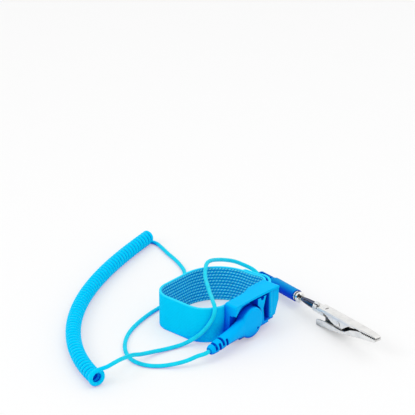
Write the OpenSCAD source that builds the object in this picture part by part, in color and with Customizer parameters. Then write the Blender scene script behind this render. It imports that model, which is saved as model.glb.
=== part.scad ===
// Antistatic wrist strap: adjustable fabric band, moulded buckle with a cam lever, swivelling snap
// connector with its series resistor, curly lead, banana plug and alligator clip.
// Origin: bottom centre of the box round the band, the buckle and the snap connector. X runs along the
// buckle towards its lever end, -Y points out through the snap stud and Z runs up across the webbing.
// Shapes are drawn from the middle of the buckle and moved to the origin by at_home. Millimetres.

/* [Webbing band] */
// Width of the webbing
web_w = 20; // [16:0.5:24]
// Thickness of the webbing
web_t = 1.4; // [1:0.1:1.8]
// Outer width of the wrist loop, along X
loop_w = 49; // [45:0.5:60]
// Depth of the wrist loop, from the buckle to the far side, along Y
loop_d = 40.5; // [36:0.5:54]
// How far round the back right corner the free end of the strap reaches
tail_angle = 14; // [6:1:30]

/* [Buckle] */
// Length of the buckle frame
buckle_l = 34.5; // [32:0.5:42]
// Thickness of the buckle frame at its lever end
buckle_t = 11.4; // [11:0.1:12.4]
// Wall above and below the webbing slot
rail_t = 1.2; // [1:0.1:2]
// Diameter of the adjuster bar that the webbing turns round
bar_d = 1.6; // [1.2:0.1:1.8]
// Length of the cam lever's thumb pad
lever_l = 8; // [7:0.1:8.4]

/* [Snap connector] */
// Diameter of the connector's round head
head_d = 17; // [15:0.1:17.4]
// Thickness of the connector's head
head_t = 4.9; // [4.6:0.1:6]
// Distance from the stud to the tip of the strain relief
tail_l = 32; // [30:0.5:37]
// How far the tail hangs below level at rest
tail_tilt = 7; // [4:0.5:9]
// Diameter of the stud's ball
stud_d = 4; // [3.6:0.1:4.2]

/* [Lead] */
// Diameter of the lead's jacket
cord_d = 2.2; // [2:0.1:2.4]
// Outer diameter of the curly stretch
coil_d = 8.4; // [8:0.1:9.5]
// Distance from one curl to the next
coil_pitch = 2.75; // [2.7:0.05:3.2]
// Number of curls, half a curl over a whole number
coil_turns = 61.5; // [40.5:1:62.5]

/* [Banana plug] */
// Diameter of the plug's handle
handle_d = 6.6; // [6:0.1:8]
// Length of the plug's handle
handle_l = 22.4; // [18:0.1:26]
// Length of the plug's strain relief
boot_l = 13; // [10:0.5:16]
// Diameter of the solid pin inside the leaf spring
pin_d = 2.5; // [2.3:0.1:2.8]
// Length of pin that shows between the collar and the clip
pin_out = 13.5; // [11:0.5:15]

/* [Alligator clip] */
// Length of the clip from the mouth of its barrel to its tip
clip_l = 54; // [53:0.5:58]
// Outer width of the clip's channels
clip_w = 6.5; // [6.3:0.1:7.5]
// Thickness of the sheet metal
sheet_t = 0.6; // [0.5:0.05:0.7]

/* [Hidden] */
$fn = 64;

// small allowance that lets a cut pass a face
eps = 0.1;
// clearance between the webbing and its slot, each side
web_gap = 0.2;
// height of the buckle, and of the webbing inside it
buckle_h = web_w + 2 * web_gap + 2 * rail_t;
web_z = rail_t + web_gap;
// gap left between pieces that slide or turn past each other
run_gap = 0.05;

// ---- wrist band -------------------------------------------------------------------------------
// front face of the buckle at its lever end, its back face, and the middle of the webbing
front_y = -5.7;
back_y = front_y + buckle_t;
wall_t = 0.9;
web_y = back_y - wall_t - web_gap - web_t / 2;
band_left = -27;
band_right = band_left + loop_w;
band_back = web_y + loop_d;
// corner radii of the loop: front left, back left, back right, front right
corner_r = [11, 10, 22.5, 9];
// the webbing turns round the bar at this radius, and its free end runs back beside itself
wrap_r = bar_d / 2 + run_gap + web_t / 2;
bar_x = 8;
bar_y = web_y - wrap_r;
tail_y = web_y - 2 * wrap_r;
// free end lies this far outside the loop where it has closed up to it
tail_off = web_t + 0.35;
// the fixed end of the webbing inside the buckle
fixed_x = 2.4;

function arc(c, r, a0, a1, n) = [
    for (i = [0 : n]) let (a = a0 + (a1 - a0) * i / n) [c[0] + r * cos(a), c[1] + r * sin(a)]
];
function arc2(c, r0, r1, a0, a1, n) = [
    for (i = [0 : n])
        let (a = a0 + (a1 - a0) * i / n, r = r0 + (r1 - r0) * i / n)
        [c[0] + r * cos(a), c[1] + r * sin(a)]
];
c_fl = [band_left + corner_r[0], web_y + corner_r[0]];
c_bl = [band_left + corner_r[1], band_back - corner_r[1]];
c_br = [band_right - corner_r[2], band_back - corner_r[2]];
c_fr = [band_right - corner_r[3], web_y + corner_r[3]];
// middle line of the webbing, from its fixed end round the wrist, round the bar and out again
band_line = concat(
    [[fixed_x, web_y], [-8, web_y]],
    arc(c_fl, corner_r[0], -90, -180, 10),
    arc(c_bl, corner_r[1], 180, 90, 10),
    arc(c_br, corner_r[2], 90, 0, 12),
    arc(c_fr, corner_r[3], 0, -90, 10),
    arc([bar_x, bar_y], wrap_r, 90, 270, 10),
    arc2(c_fr, corner_r[3] + 2 * wrap_r, corner_r[3] + tail_off, -90, 0, 12),
    arc(c_br, corner_r[2] + tail_off, 0, tail_angle, 4)
);
// the webbing comes down from the slot to the table as it leaves the buckle
drop_from = 5;
drop_to = 20;
function ease(t) = let (u = min(1, max(0, t))) u * u * (3 - 2 * u);
function band_z(y) = web_z * (1 - ease((y - drop_from) / (drop_to - drop_from)));

// ---- buckle -----------------------------------------------------------------------------------
stud_x = -6;
stud_z = 10;
corner_soft = 1.2;
// back face of the frame where the fixed end is riveted on, and where the thicker lever end starts
left_back = web_y - web_t / 2 - run_gap;
ramp = [-4, 5];
// the top rail stands lower behind this line
ledge_y = left_back - 0.1;
ledge_drop = 0.5;
// hollow of the front face
scoop_x = -7;
scoop_y = -4.6;
scoop_r = 280;
// the pocket that nests the connector's head
pocket_gap = 0.9;
pocket_r = head_d / 2 + pocket_gap;
pocket_y = -1.3;
// wider recess round the pocket's mouth, and the deep well beside the tab
recess_r = 13.3;
recess_y = -2.4;
tab_x = 0.2;
well_x = -3.4;
well_y = 1.5;
// the post is open below this height for the connector's tail, down to this depth
notch_hi = 16.6;
notch_y = -0.3;
// corner cut off the foot below the lever's end
foot_cut = 3.4;
// bay of the cam lever, and how its inner wall leans in below the top
bay_x = 7.3;
bay_wall = [[7.2, 22], [5.8, 18], [4.5, 13.6], [5, 9.7]];
bay_z = 6;
ear_t = 1.6;
lever_gap = 0.25;
lever_pin_d = 1.5;
lever_x = 11.5;
lever_back = tail_y - web_t / 2 - 0.35;
lever_y = lever_back - 1.95;
lever_front = front_y + 0.6;
ear_x = 13.8;
// the ear's front stands back from here on
ear_step = 8.4;

// ---- snap connector ---------------------------------------------------------------------------
// measured outward from the stud's plane, along -Y
head_z = -pocket_y + 0.5;
tail_z = head_z + 2.5;
tail_r = 3;
neck_end = 17;
bore_r = 1.5;
flange_r = 5.3;
cavity_r = 5.5;
cavity_top = head_z + head_t - 1.4;

// ---- banana plug and clip ---------------------------------------------------------------------
// mouth of the clip's barrel, and the way that the plug and the clip point
mouth = [33.3, -17.2, 7.8];
plug_turn = -106.5;
plug_rise = 4.5;
collar_l = 4.1;
collar_r = 2.9;
pin_in = 8;
barrel_l = 10;
barrel_r = 2.6;
spring_gap = 0.05;
leaf_r = 1.95;
pivot_x = 24;
pivot_z = -0.8;
pivot_d = 1.5;
boot_x = -(pin_out + collar_l + handle_l + boot_l);

boot_tip_r = 2.2;
// the box that the origin is taken from
home = [
    (from_snap([-tail_l, boot_tip_r, tail_z])[0] + band_right + tail_off + web_t / 2) / 2,
    (band_back + web_t / 2 - max(head_z + head_t, tail_z + tail_r)) / 2,
    0
];
module at_home() {
    translate(-home) children();
}
module on_plug() {
    translate(mouth) rotate([0, 0, plug_turn]) rotate([0, -plug_rise, 0]) children();
}
// a point of the plug's own frame, in the part's frame
function from_plug(p) =
    let (x = p[0] * cos(plug_rise) - p[2] * sin(plug_rise), z = p[0] * sin(plug_rise) + p[2] * cos(plug_rise))
    [
        mouth[0] + x * cos(plug_turn) - p[1] * sin(plug_turn),
        mouth[1] + x * sin(plug_turn) + p[1] * cos(plug_turn),
        mouth[2] + z
    ];
module on_snap() {
    translate([stud_x, 0, stud_z]) rotate([90, 0, 0]) rotate([0, 0, tail_tilt]) children();
}
function from_snap(p) = [
    stud_x + p[0] * cos(tail_tilt) - p[1] * sin(tail_tilt),
    -p[2],
    stud_z + p[0] * sin(tail_tilt) + p[1] * cos(tail_tilt)
];

// ---- lead -------------------------------------------------------------------------------------
coil_r = (coil_d - cord_d) / 2;
coil_z = coil_d / 2 + 0.1;
// the curly stretch starts here and bends evenly tighter along its way, in degrees a millimetre
coil_start = [43, 111.5];
coil_heading = 190.7;
coil_bend = 0.072;
coil_tighten = 0.0018;
steps = 8;
ring_step = coil_pitch / steps;
ring_count = round(coil_turns * steps);
function coil_turn(s) = coil_heading + coil_bend * s + coil_tighten * s * s;
// places along the middle of the curls, one for each ring
coil_mid = [
    for (i = 0, p = coil_start; i <= ring_count;
        a = coil_turn((i + 0.5) * ring_step), p = p + ring_step * [cos(a), sin(a)], i = i + 1) p
];
function coil_dir(i) = let (a = coil_turn(i * ring_step)) [cos(a), sin(a), 0];
function side_of(t) = [-t[1], t[0], 0];
function coil_phase(i) = -90 - 360 * i / steps;
function spoke(i) =
    let (n = side_of(coil_dir(i)), f = coil_phase(i)) [n[0] * cos(f), n[1] * cos(f), sin(f)];
// the last curl opens up by this much
coil_flare = 0.8;
function coil_open(i) = coil_flare * ease((i - ring_count) / (1.2 * steps) + 1);
function coil_point(i) =
    let (o = coil_open(i), u = spoke(i)) [coil_mid[i][0], coil_mid[i][1], coil_z + o] + (coil_r + o) * u;
coil_points = [for (i = [0 : ring_count]) coil_point(i)];
// the way the cord runs as it enters the first curl and leaves the last one
coil_in = -side_of(coil_dir(0));
coil_out = side_of(coil_dir(ring_count));
coil_first = coil_points[0] - cord_d * coil_in;
coil_last = coil_points[ring_count] + cord_d * coil_out;

// least clear space between neighbouring curls, measured on the rings' middle points
coil_gap = min([
    for (i = [0 : 4 : ring_count - 2 * steps])
        for (j = [i + steps - 2 : i + steps + 2]) norm(coil_points[i] - coil_points[j])
]) - cord_d;

// from the connector's strain relief, along the table behind the band, to the curls' far end
snap_route = concat(
    [from_snap([-tail_l, 0, tail_z]), from_snap([-tail_l - 2.5, 0, tail_z])],
    [
        [-44.4, -2.3, 5.3], [-49.2, 0.5, 3.7], [-54.6, 4.9, 2.3], [-58.8, 9.7, 1.3], [-62.2, 14.1, 1.2],
        [-64, 19.3, 1.2], [-63.9, 24.8, 1.2], [-61.7, 30.3, 1.2], [-57.3, 36.1, 1.2], [-51.1, 41.4, 1.2],
        [-43.8, 45.7, 1.2], [-36.4, 48.5, 1.2], [-28.2, 50.6, 1.2], [-20.5, 51.9, 1.2], [-12.6, 52.6, 1.2],
        [-3, 53.8, 1.2], [8, 57.2, 1.2], [19, 63.4, 1.2], [28.2, 71.4, 1.2], [31.6, 76.9, 1.2],
        [35, 83.7, 1.2], [38.5, 93, 1.2], [41.8, 100.6, 1.2]
    ],
    [coil_first - 2.5 * coil_in, coil_first]
);
// from the curls' near end, over both rims of the band and down behind it to the banana plug
plug_route = concat(
    [coil_last, coil_last + 2.5 * coil_out],
    [
        [-82.6, 21.3, 8.7], [-79.3, 21.9, 8.2], [-75.6, 22.4, 7.5], [-71.8, 22.8, 6.7], [-68.2, 23, 5.8],
        [-64.5, 22.9, 4.9], [-60.3, 22.5, 3.9], [-55.5, 21.9, 2.9], [-50.7, 21.1, 2.1], [-46.5, 19.9, 1.6],
        [-41.8, 18.4, 1.3], [-36, 16.2, 1.5], [-31.6, 13.9, 3], [-29.1, 9.7, 7], [-26.8, 6.2, 12.2],
        [-24.9, 4.4, 17], [-24.1, 3.8, 21], [-23.3, 4.7, 22.8], [-20.8, 7.8, 23], [-16.6, 12.3, 22.4],
        [-12.1, 17.7, 21.8], [-6.7, 23.7, 21.5], [-1.2, 30, 21.4], [3.9, 34.8, 21.5], [9.1, 38.9, 21.6],
        [12.5, 41.2, 21.6], [16.4, 42.9, 20.9], [23.9, 45.8, 18], [34.4, 46.9, 13.7], [41.5, 45.8, 10.4],
        [46.4, 42.8, 7.2], [49.2, 39.2, 4.8]
    ],
    [from_plug([boot_x - 2.5, 0, 0]), from_plug([boot_x, 0, 0])]
);

// ---- swept shapes -----------------------------------------------------------------------------
function unit(v) = v / norm(v);
function route_dir(p, i) =
    i == 0 ? unit(p[1] - p[0])
    : i == len(p) - 1 ? unit(p[i] - p[i - 1])
    : unit(unit(p[i + 1] - p[i]) + unit(p[i] - p[i - 1]));
function ring(p, t, u, r, n) =
    let (w = cross(t, u))
    [for (k = [0 : n - 1]) p + r * (cos(360 * k / n) * u + sin(360 * k / n) * w)];
function flatten(l) = [for (a = l) for (b = a) b];
// triangles of a closed tube of m rings of n points
function tube_faces(m, n) = concat(
    [
        for (i = [0 : m - 2])
            for (k = [0 : n - 1])
                for (f = [0, 1])
                    let (a = i * n + k, b = i * n + (k + 1) % n)
                    f == 0 ? [a, a + n, b] : [b, a + n, b + n]
    ],
    [for (k = [1 : n - 2]) [0, k, k + 1]],
    [for (k = [1 : n - 2]) let (e = (m - 1) * n) [e, e + k + 1, e + k]]
);
module tube(points, r, n) {
    up = [0, 0, 1];
    rings = [
        for (i = [0 : len(points) - 1])
            let (t = route_dir(points, i), u = unit(cross(cross(t, up), t)))
            ring(points[i], t, u, r, n)
    ];
    polyhedron(points = flatten(rings), faces = tube_faces(len(points), n));
}
module curls() {
    rings = concat(
        [ring(coil_first, coil_in, spoke(0), cord_d / 2, 6)],
        [
            for (i = [0 : ring_count])
                let (
                    t = i == 0 ? coil_in
                        : i == ring_count ? coil_out
                        : unit(coil_points[i + 1] - coil_points[i - 1]),
                    u = unit(spoke(i) - (spoke(i) * t) * t)
                )
                ring(coil_points[i], t, u, cord_d / 2, 6)
        ],
        [ring(coil_last, coil_out, spoke(ring_count), cord_d / 2, 6)]
    );
    polyhedron(points = flatten(rings), faces = tube_faces(len(rings), 6));
}
module strip(line, t, w) {
    m = len(line);
    corners = [
        for (i = [0 : m - 1])
            let (
                a = line[max(0, i - 1)],
                b = line[min(m - 1, i + 1)],
                d = unit(b - a),
                n = [-d[1], d[0]],
                z = band_z(line[i][1]),
                p = line[i] + n * t / 2,
                q = line[i] - n * t / 2
            )
            [[p[0], p[1], z + w], [q[0], q[1], z + w], [q[0], q[1], z], [p[0], p[1], z]]
    ];
    polyhedron(points = flatten(corners), faces = tube_faces(m, 4));
}
// a cylinder along X from x0 to x1
module bar_x(r, x0, x1) {
    translate([x0, 0, 0]) rotate([0, 90, 0]) cylinder(r = r, h = x1 - x0);
}
module cone_x(r0, r1, x0, x1) {
    translate([x0, 0, 0]) rotate([0, 90, 0]) cylinder(r1 = r0, r2 = r1, h = x1 - x0);
}
// a cylinder along Y from y0 to y1
module bar_y(r, y0, y1) {
    translate([0, y0, 0]) rotate([-90, 0, 0]) cylinder(r = r, h = y1 - y0);
}
module box(lo, hi) {
    translate(lo) cube(hi - lo);
}
module round_rect(w, h, r) {
    square([w - 2 * r, h], center = true);
    square([w, h - 2 * r], center = true);
    for (x = [-1, 1])
        for (y = [-1, 1])
            translate([x * (w / 2 - r), y * (h / 2 - r)]) circle(r = r);
}

// ---- band and buckle --------------------------------------------------------------------------
module wrist_band() {
    color("deepskyblue") at_home()
    difference() {
        strip(band_line, web_t, web_w);
        translate([stud_x, 0, stud_z]) bar_y(stud_shank_r + run_gap, web_y - web_t, web_y + web_t);
        for (x = rivet_x)
            translate([x, 0, stud_z]) bar_y(rivet_r + run_gap, web_y - web_t, web_y + web_t);
    }
}
module buckle_frame() {
    half_l = buckle_l / 2;
    mid_y = (front_y + back_y) / 2;
    slot_lo = web_z - web_gap;
    slot_hi = web_z + web_w + web_gap;
    slot_back = web_y + web_t / 2 + web_gap;
    color("dodgerblue") at_home()
    difference() {
        intersection() {
            translate([0, mid_y, 0]) linear_extrude(buckle_h) round_rect(buckle_l, buckle_t, corner_soft);
            translate([0, back_y + eps, buckle_h / 2])
                rotate([90, 0, 0])
                    linear_extrude(buckle_t + 2 * eps) round_rect(buckle_l, buckle_h, corner_soft);
        }
        // hollow front
        translate([scoop_x, scoop_y - scoop_r, -eps])
            cylinder(r = scoop_r, h = buckle_h + 2 * eps, $fn = 360);
        // thinner post end, with a ramp up to the lever end
        translate([0, 0, -eps])
            linear_extrude(buckle_h + 2 * eps)
                polygon([
                    [-half_l - 1, left_back], [ramp[0], left_back], [ramp[1], back_y + eps],
                    [ramp[1], back_y + 1], [-half_l - 1, back_y + 1]
                ]);
        box([-half_l - 1, left_back, slot_lo], [fixed_x + 0.8, back_y + 1, slot_hi]);
        // lower ledge behind the top rail, and a cut corner under the lever
        box([-half_l - 1, ledge_y, buckle_h - ledge_drop], [half_l + 1, back_y + 1, buckle_h + 1]);
        translate([half_l, back_y + 1, 0])
            rotate([90, 0, 0])
                linear_extrude(buckle_t + 2)
                    polygon([
                        [-foot_cut, -1], [1, -1], [1, foot_cut + 0.2], [0, foot_cut + 0.2], [-foot_cut, 0]
                    ]);
        // slot of the adjustable end, with room for its turn round the bar, flared towards the loop
        box(
            [bar_x - wrap_r - web_t / 2 - web_gap, tail_y - web_t / 2 - web_gap, slot_lo],
            [half_l + 1, slot_back, slot_hi]
        );
        translate([0, 0, slot_lo])
            linear_extrude(slot_hi - slot_lo)
                polygon([
                    [c_fr[0], slot_back - 0.5], [c_fr[0], slot_back], [half_l + 1, slot_back + 1.9],
                    [half_l + 1, web_y]
                ]);
        // round pocket for the connector
        translate([stud_x, 0, stud_z]) bar_y(pocket_r, front_y - eps, pocket_y);
        intersection() {
            translate([stud_x, 0, stud_z]) bar_y(recess_r, front_y - eps, recess_y);
            box([-half_l - 1, front_y - 1, stud_z], [tab_x, recess_y + 1, slot_hi + 0.1]);
        }
        box([well_x, front_y - eps, 17], [tab_x, well_y, slot_hi + 0.1]);
        // way out for its tail
        box([-half_l - 1, front_y - eps, -eps], [stud_x - 4.4, notch_y, notch_hi]);
        // bay of the lever, open in front and at the end
        box([bay_x, front_y - eps, bay_z], [half_l + 1, tail_y, slot_hi]);
        intersection() {
            translate([0, tail_y, 0])
                rotate([90, 0, 0])
                    linear_extrude(tail_y - front_y + eps)
                        polygon(concat(bay_wall, [[5.3, bay_z], [bay_x + 1, bay_z], [bay_x + 1, 22]]));
            box([0, front_y - 1, bay_z], [bay_x + 2, tail_y + 1, slot_hi]);
        }
        // the foot is cut back below the pocket and the lever's ear
        box([-half_l - 1, front_y - eps, -eps], [half_l + 1, pocket_y, bay_z - ear_t]);
        box([pocket_r + stud_x - 0.6, front_y - eps, -eps], [half_l + 1, lever_back + 0.3, bay_z - ear_t]);
        box([ear_x, front_y - eps, -eps], [half_l + 1, lever_back + 0.3, bay_z + eps]);
        box([ear_step, front_y - eps, -eps], [half_l + 1, lever_y - 1.6, bay_z + eps]);
        // gap and half-round notch above the post beside the lever
        box([tab_x - eps, front_y - eps, slot_hi - 0.9], [bay_x + eps, pocket_y - 1.2, slot_hi]);
        translate([(bay_x + tab_x) / 2, 0, slot_hi - 1.4]) bar_y(1.2, front_y - eps, pocket_y - 1.2);
        // seats of the bar, the lever's pin, the stud and the plate's rivets
        translate([bar_x, bar_y, 0.5]) cylinder(d = bar_d + 2 * run_gap, h = buckle_h - 1);
        translate([lever_x, lever_y, bay_z - ear_t - eps])
            cylinder(d = lever_pin_d + 2 * run_gap, h = buckle_h - bay_z + ear_t + eps - 0.75);
        translate([stud_x, 0, stud_z]) bar_y(stud_shank_r + run_gap, pocket_y - eps, left_back + eps);
        for (x = rivet_x)
            translate([x, 0, stud_z]) bar_y(rivet_r + run_gap, left_back - rivet_in, left_back + eps);
    }
}
// skin plate on the inner face, riveted on through the webbing's fixed end
plate_l = 18.6;
plate_h = 14;
plate_t = 0.5;
plate_x = -6.8;
plate_y = web_y + web_t / 2 + run_gap;
rivet_r = 0.8;
rivet_in = 1.6;
rivet_x = [-14.5, -0.2];
stud_shank_r = 1.2;
module skin_plate() {
    color("silver") at_home()
    difference() {
        translate([plate_x, plate_y + plate_t, stud_z])
            rotate([90, 0, 0]) linear_extrude(plate_t) round_rect(plate_l, plate_h, 2.5);
        translate([stud_x, 0, stud_z]) bar_y(stud_shank_r + run_gap, 0, plate_y + 1);
        for (x = rivet_x)
            translate([x, 0, stud_z]) bar_y(rivet_r + run_gap, 0, plate_y + 1);
    }
}
module plate_rivets() {
    color("gainsboro") at_home()
    for (x = rivet_x)
        translate([x, 0, stud_z]) {
            bar_y(rivet_r, left_back - rivet_in + run_gap, plate_y + plate_t);
            translate([0, plate_y + plate_t, 0]) rotate([-90, 0, 0]) rivet_head(1.5, 0.45);
        }
}
// low domed rivet head, standing on its flat face
module rivet_head(r, h) {
    ball = (r * r + h * h) / (2 * h);
    rotate_extrude()
        intersection() {
            translate([0, h - ball]) circle(r = ball, $fn = 180);
            square([r, h]);
        }
}
module strap_bar() {
    color("silver") at_home()
        translate([bar_x, bar_y, 0.5 + run_gap]) cylinder(d = bar_d, h = buckle_h - 1 - 2 * run_gap);
}
module cam_lever() {
    z0 = bay_z + lever_gap;
    z1 = web_z + web_w + web_gap - lever_gap;
    left = lever_x - 2;
    soft = 1.2;
    nose_r = lever_back - lever_y;
    color("dodgerblue") at_home()
    difference() {
        translate([0, 0, z0])
            linear_extrude(z1 - z0) {
                difference() {
                    union() {
                        // thumb pad, from the hinge to the end of the buckle
                        translate([lever_x, lever_front]) square([lever_l - 2, lever_y + 1.1 - lever_front]);
                        translate([left + soft, lever_front]) square([2 - soft, lever_y - lever_front]);
                        translate([left, lever_front + soft]) square([2, lever_y - 0.4 - lever_front - soft]);
                        translate([left + soft, lever_front + soft]) circle(r = soft);
                    }
                    // dished thumb face
                    translate([lever_x + 4, lever_front - 19.3]) circle(r = 20, $fn = 180);
                }
                translate([lever_x, lever_y]) circle(r = 1.55);
                // cam lobe that bears on the webbing
                intersection() {
                    translate([lever_x, lever_y]) circle(r = nose_r);
                    translate([lever_x - 0.7, lever_y]) square([2, nose_r]);
                }
            }
        translate([lever_x, lever_y, z0 - eps])
            cylinder(d = lever_pin_d + 2 * run_gap, h = z1 - z0 + 2 * eps);
        // the pad narrows towards its foot
        translate([left + lever_l, lever_back, z0])
            rotate([90, 0, 0]) linear_extrude(9) polygon([[-2.8, -1], [1, -1], [1, 8], [0, 8], [-2.8, 0]]);
        // grip grooves
        for (i = [0 : 3])
            translate([left + lever_l - 1.3 - i * 1.1, lever_front + 0.25, z0 - eps])
                cylinder(r = 0.4, h = z1 - z0 + 2 * eps, $fn = 24);
    }
}
module lever_pin() {
    color("silver") at_home()
        translate([lever_x, lever_y, bay_z - ear_t])
            cylinder(d = lever_pin_d, h = buckle_h - bay_z + ear_t - 0.8);
}
module snap_stud() {
    color("silver") at_home()
    translate([stud_x, 0, stud_z])
        rotate([90, 0, 0]) {
            // shank through frame and webbing, flange, neck and ball
            translate([0, 0, -plate_y - plate_t])
                cylinder(r = stud_shank_r, h = plate_y + plate_t - pocket_y);
            translate([0, 0, -pocket_y]) cylinder(r = 3.6, h = stud_flange);
            translate([0, 0, -pocket_y + stud_flange]) cylinder(r = 1.6, h = ball_from - stud_flange);
            translate([0, 0, -pocket_y + ball_from + stud_ball_h / 2]) rotate_extrude() stud_profile();
        }
}
// flange on the frame, start of the ball above the frame, and the ball's height
stud_flange = 0.3;
ball_from = 1.5;
stud_ball_h = 1.5;
module stud_profile() {
    r = stud_d / 2;
    h = stud_ball_h / 2;
    translate([0, -h]) square([r - h, 2 * h]);
    intersection() {
        translate([r - h, 0]) circle(r = h);
        translate([0, -h]) square([r + 1, 2 * h]);
    }
}
module stud_washer() {
    color("gainsboro") at_home()
        translate([stud_x, plate_y + plate_t, stud_z]) rotate([-90, 0, 0]) rivet_head(2.6, 0.6);
}

// ---- snap connector ---------------------------------------------------------------------------
module snap_housing() {
    edge = 0.8;
    r = head_d / 2;
    color("deepskyblue") at_home()
    on_snap()
    difference() {
        union() {
            translate([0, 0, head_z])
                rotate_extrude($fn = 96) {
                    square([r - edge, head_t]);
                    square([r, head_t - edge]);
                    translate([r - edge, head_t - edge]) circle(r = edge);
                }
            translate([0, 0, tail_z]) bar_x(tail_r, -neck_end, -5);
            // flat cheeks carry the round head into the tail
            head_cheeks();
        }
        translate([0, 0, head_z - eps]) cylinder(r = cavity_r, h = cavity_top - head_z + eps);
        translate([0, 0, tail_z]) bar_x(bore_r, -neck_end - eps, -4);
        box([-8.7, -1.2, head_z + 0.9], [-4, 1.2, tail_z]);
    }
}
module head_cheeks() {
    depth = head_t - 1.2;
    translate([0, 0, head_z + 0.2])
        linear_extrude(depth)
            polygon([[-3, 7.6], [-3, -7.6], [-14, -tail_r + 0.5], [-14, tail_r - 0.5]]);
}
module snap_retainer() {
    color("deepskyblue") at_home()
    on_snap()
    difference() {
        translate([0, 0, head_z]) cylinder(r = cavity_r - run_gap, h = 0.6);
        translate([0, 0, head_z - eps]) cylinder(r = 3.4, h = 1);
    }
}
// contact socket: a turned cup whose wall stands round the stud's ball
socket_in = stud_d / 2 + 0.25;
socket_wall = 0.3;
module snap_socket() {
    color("gold") at_home()
    on_snap()
    translate([0, 0, head_z + 0.6])
        rotate_extrude() {
            translate([socket_in, 0]) square([flange_r - socket_in, 0.3]);
            translate([socket_in, 0]) square([socket_wall, 2.5]);
            translate([0, 2.2]) square([socket_in + socket_wall, 0.3]);
        }
}
// open ring of wire that grips the stud's neck under its ball
ring_wire = 0.44;
module snap_ring() {
    color("silver") at_home()
    on_snap()
    translate([0, 0, head_z + 0.95])
        rotate([0, 0, 30])
            rotate_extrude(angle = 300)
                translate([socket_in - 0.06 - ring_wire / 2, 0]) circle(d = ring_wire, $fn = 24);
}
module snap_terminal() {
    z0 = head_z + 0.9;
    color("gold") at_home()
    on_snap() {
        difference() {
            translate([0, 0, z0]) cylinder(r = 5.2, h = 0.3);
            translate([0, 0, z0 - eps]) cylinder(r = socket_in + socket_wall + 0.1, h = 0.6);
        }
        box([-8.5, -0.9, z0], [-5, 0.9, z0 + 0.3]);
        box([-8.5, -0.9, z0], [-8.2, 0.9, tail_z + 0.5]);
    }
}
module resistor() {
    color("tan") at_home()
    on_snap()
    translate([0, 0, tail_z]) {
        bar_x(0.3, -18.6, -8.5);
        bar_x(1.15, -16.2, -9.9);
        bar_x(1.3, -11.1, -9.9);
        bar_x(1.3, -16.2, -15);
    }
}
module snap_boot() {
    color("deepskyblue") at_home()
    on_snap()
    translate([0, 0, tail_z])
    difference() {
        union() {
            cone_x(boot_tip_r, tail_r - 0.3, -tail_l, -neck_end - 2.2);
            bar_x(tail_r - 0.1, -neck_end - 2.2, -neck_end);
        }
        bar_x(0.4, -neck_end - 2, -neck_end + eps);
        for (i = [0 : 3])
            for (s = [-1, 1]) {
                x0 = -neck_end - 4.4 - i * 2.6 - (s > 0 ? 1.3 : 0);
                box([x0 - 0.6, s > 0 ? 0.5 : -4, -4], [x0 + 0.2, s > 0 ? 4 : -0.5, 4]);
            }
    }
}

// ---- lead -------------------------------------------------------------------------------------
module snap_lead() {
    color("deepskyblue") at_home() tube(snap_route, cord_d / 2, 8);
}
module coil_cord() {
    color("deepskyblue") at_home() curls();
}
module plug_lead() {
    color("deepskyblue") at_home() tube(plug_route, cord_d / 2, 8);
}

// ---- banana plug ------------------------------------------------------------------------------
handle_x = -(pin_out + collar_l);
module plug_boot() {
    rear = handle_x - handle_l;
    ribs = 5;
    pitch = (boot_l - 2.4) / ribs;
    color("royalblue") at_home()
    on_plug() {
        cone_x(1.6, 1.9, rear - boot_l, rear);
        for (i = [0 : ribs - 1]) {
            r = 1.95 + 0.17 * i;
            x0 = rear - boot_l + 1.6 + i * pitch;
            bar_x(r, x0, x0 + 0.55 * pitch);
        }
    }
}
module plug_handle() {
    rear = handle_x - handle_l;
    r = handle_d / 2;
    color("royalblue") at_home()
    on_plug()
    difference() {
        union() {
            bar_x(r, rear + 1.6, handle_x);
            cone_x(r - 0.9, r, rear, rear + 1.6);
        }
        bar_x(2.0 + run_gap, handle_x - 9, handle_x + eps);
    }
}
module plug_collar() {
    color("silver") at_home()
    on_plug() {
        bar_x(collar_r, handle_x, handle_x + 1.2);
        bar_x(collar_r - 0.35, handle_x + 1.2, handle_x + 2.2);
        bar_x(collar_r, handle_x + 2.2, handle_x + 3.4);
        cone_x(collar_r, collar_r - 0.8, handle_x + 3.4, handle_x + collar_l);
        bar_x(2.0, handle_x - 8.6, handle_x);
    }
}
module banana_pin() {
    r = pin_d / 2 - 0.1;
    color("gainsboro") at_home()
    on_plug() {
        bar_x(r, -pin_out, pin_in - 1);
        cone_x(r, 0.6, pin_in - 1, pin_in);
    }
}
module banana_spring() {
    x0 = -pin_out + 1.4;
    x1 = pin_in - 1.6;
    mid = (x0 + x1) / 2;
    half = (x1 - x0) / 2;
    bow = leaf_r - pin_d / 2;
    big = (half * half + bow * bow) / (2 * bow);
    color("silver") at_home()
    on_plug()
    difference() {
        translate([mid, 0, 0])
            rotate([0, 90, 0])
                rotate_extrude()
                    intersection() {
                        difference() {
                            translate([leaf_r - big, 0]) circle(r = big, $fn = 360);
                            translate([leaf_r - big, 0]) circle(r = big - 0.25, $fn = 360);
                        }
                        translate([pin_d / 2 - 0.1 + 0.02, -half]) square([2, 2 * half]);
                    }
        for (a = [0 : 45 : 135])
            rotate([a, 0, 0]) box([x0 + 2.4, -3, -0.22], [x1 - 2, 3, 0.22]);
    }
}

// ---- alligator clip ---------------------------------------------------------------------------
wall_out = clip_w / 2;
wall_in = clip_w / 2 - sheet_t;
tooth = 1.3;
teeth_from = clip_l - 12;
teeth_z = 1.3;
tip_w = 3.4;
// outline that narrows the channels towards the tip
module jaw_plan(extra) {
    polygon([
        [-2, -wall_out - extra], [30, -wall_out - extra], [clip_l, -tip_w / 2 - extra],
        [clip_l + 1, -tip_w / 2 - extra], [clip_l + 1, tip_w / 2 + extra], [clip_l, tip_w / 2 + extra],
        [30, wall_out + extra], [-2, wall_out + extra]
    ]);
}
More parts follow.
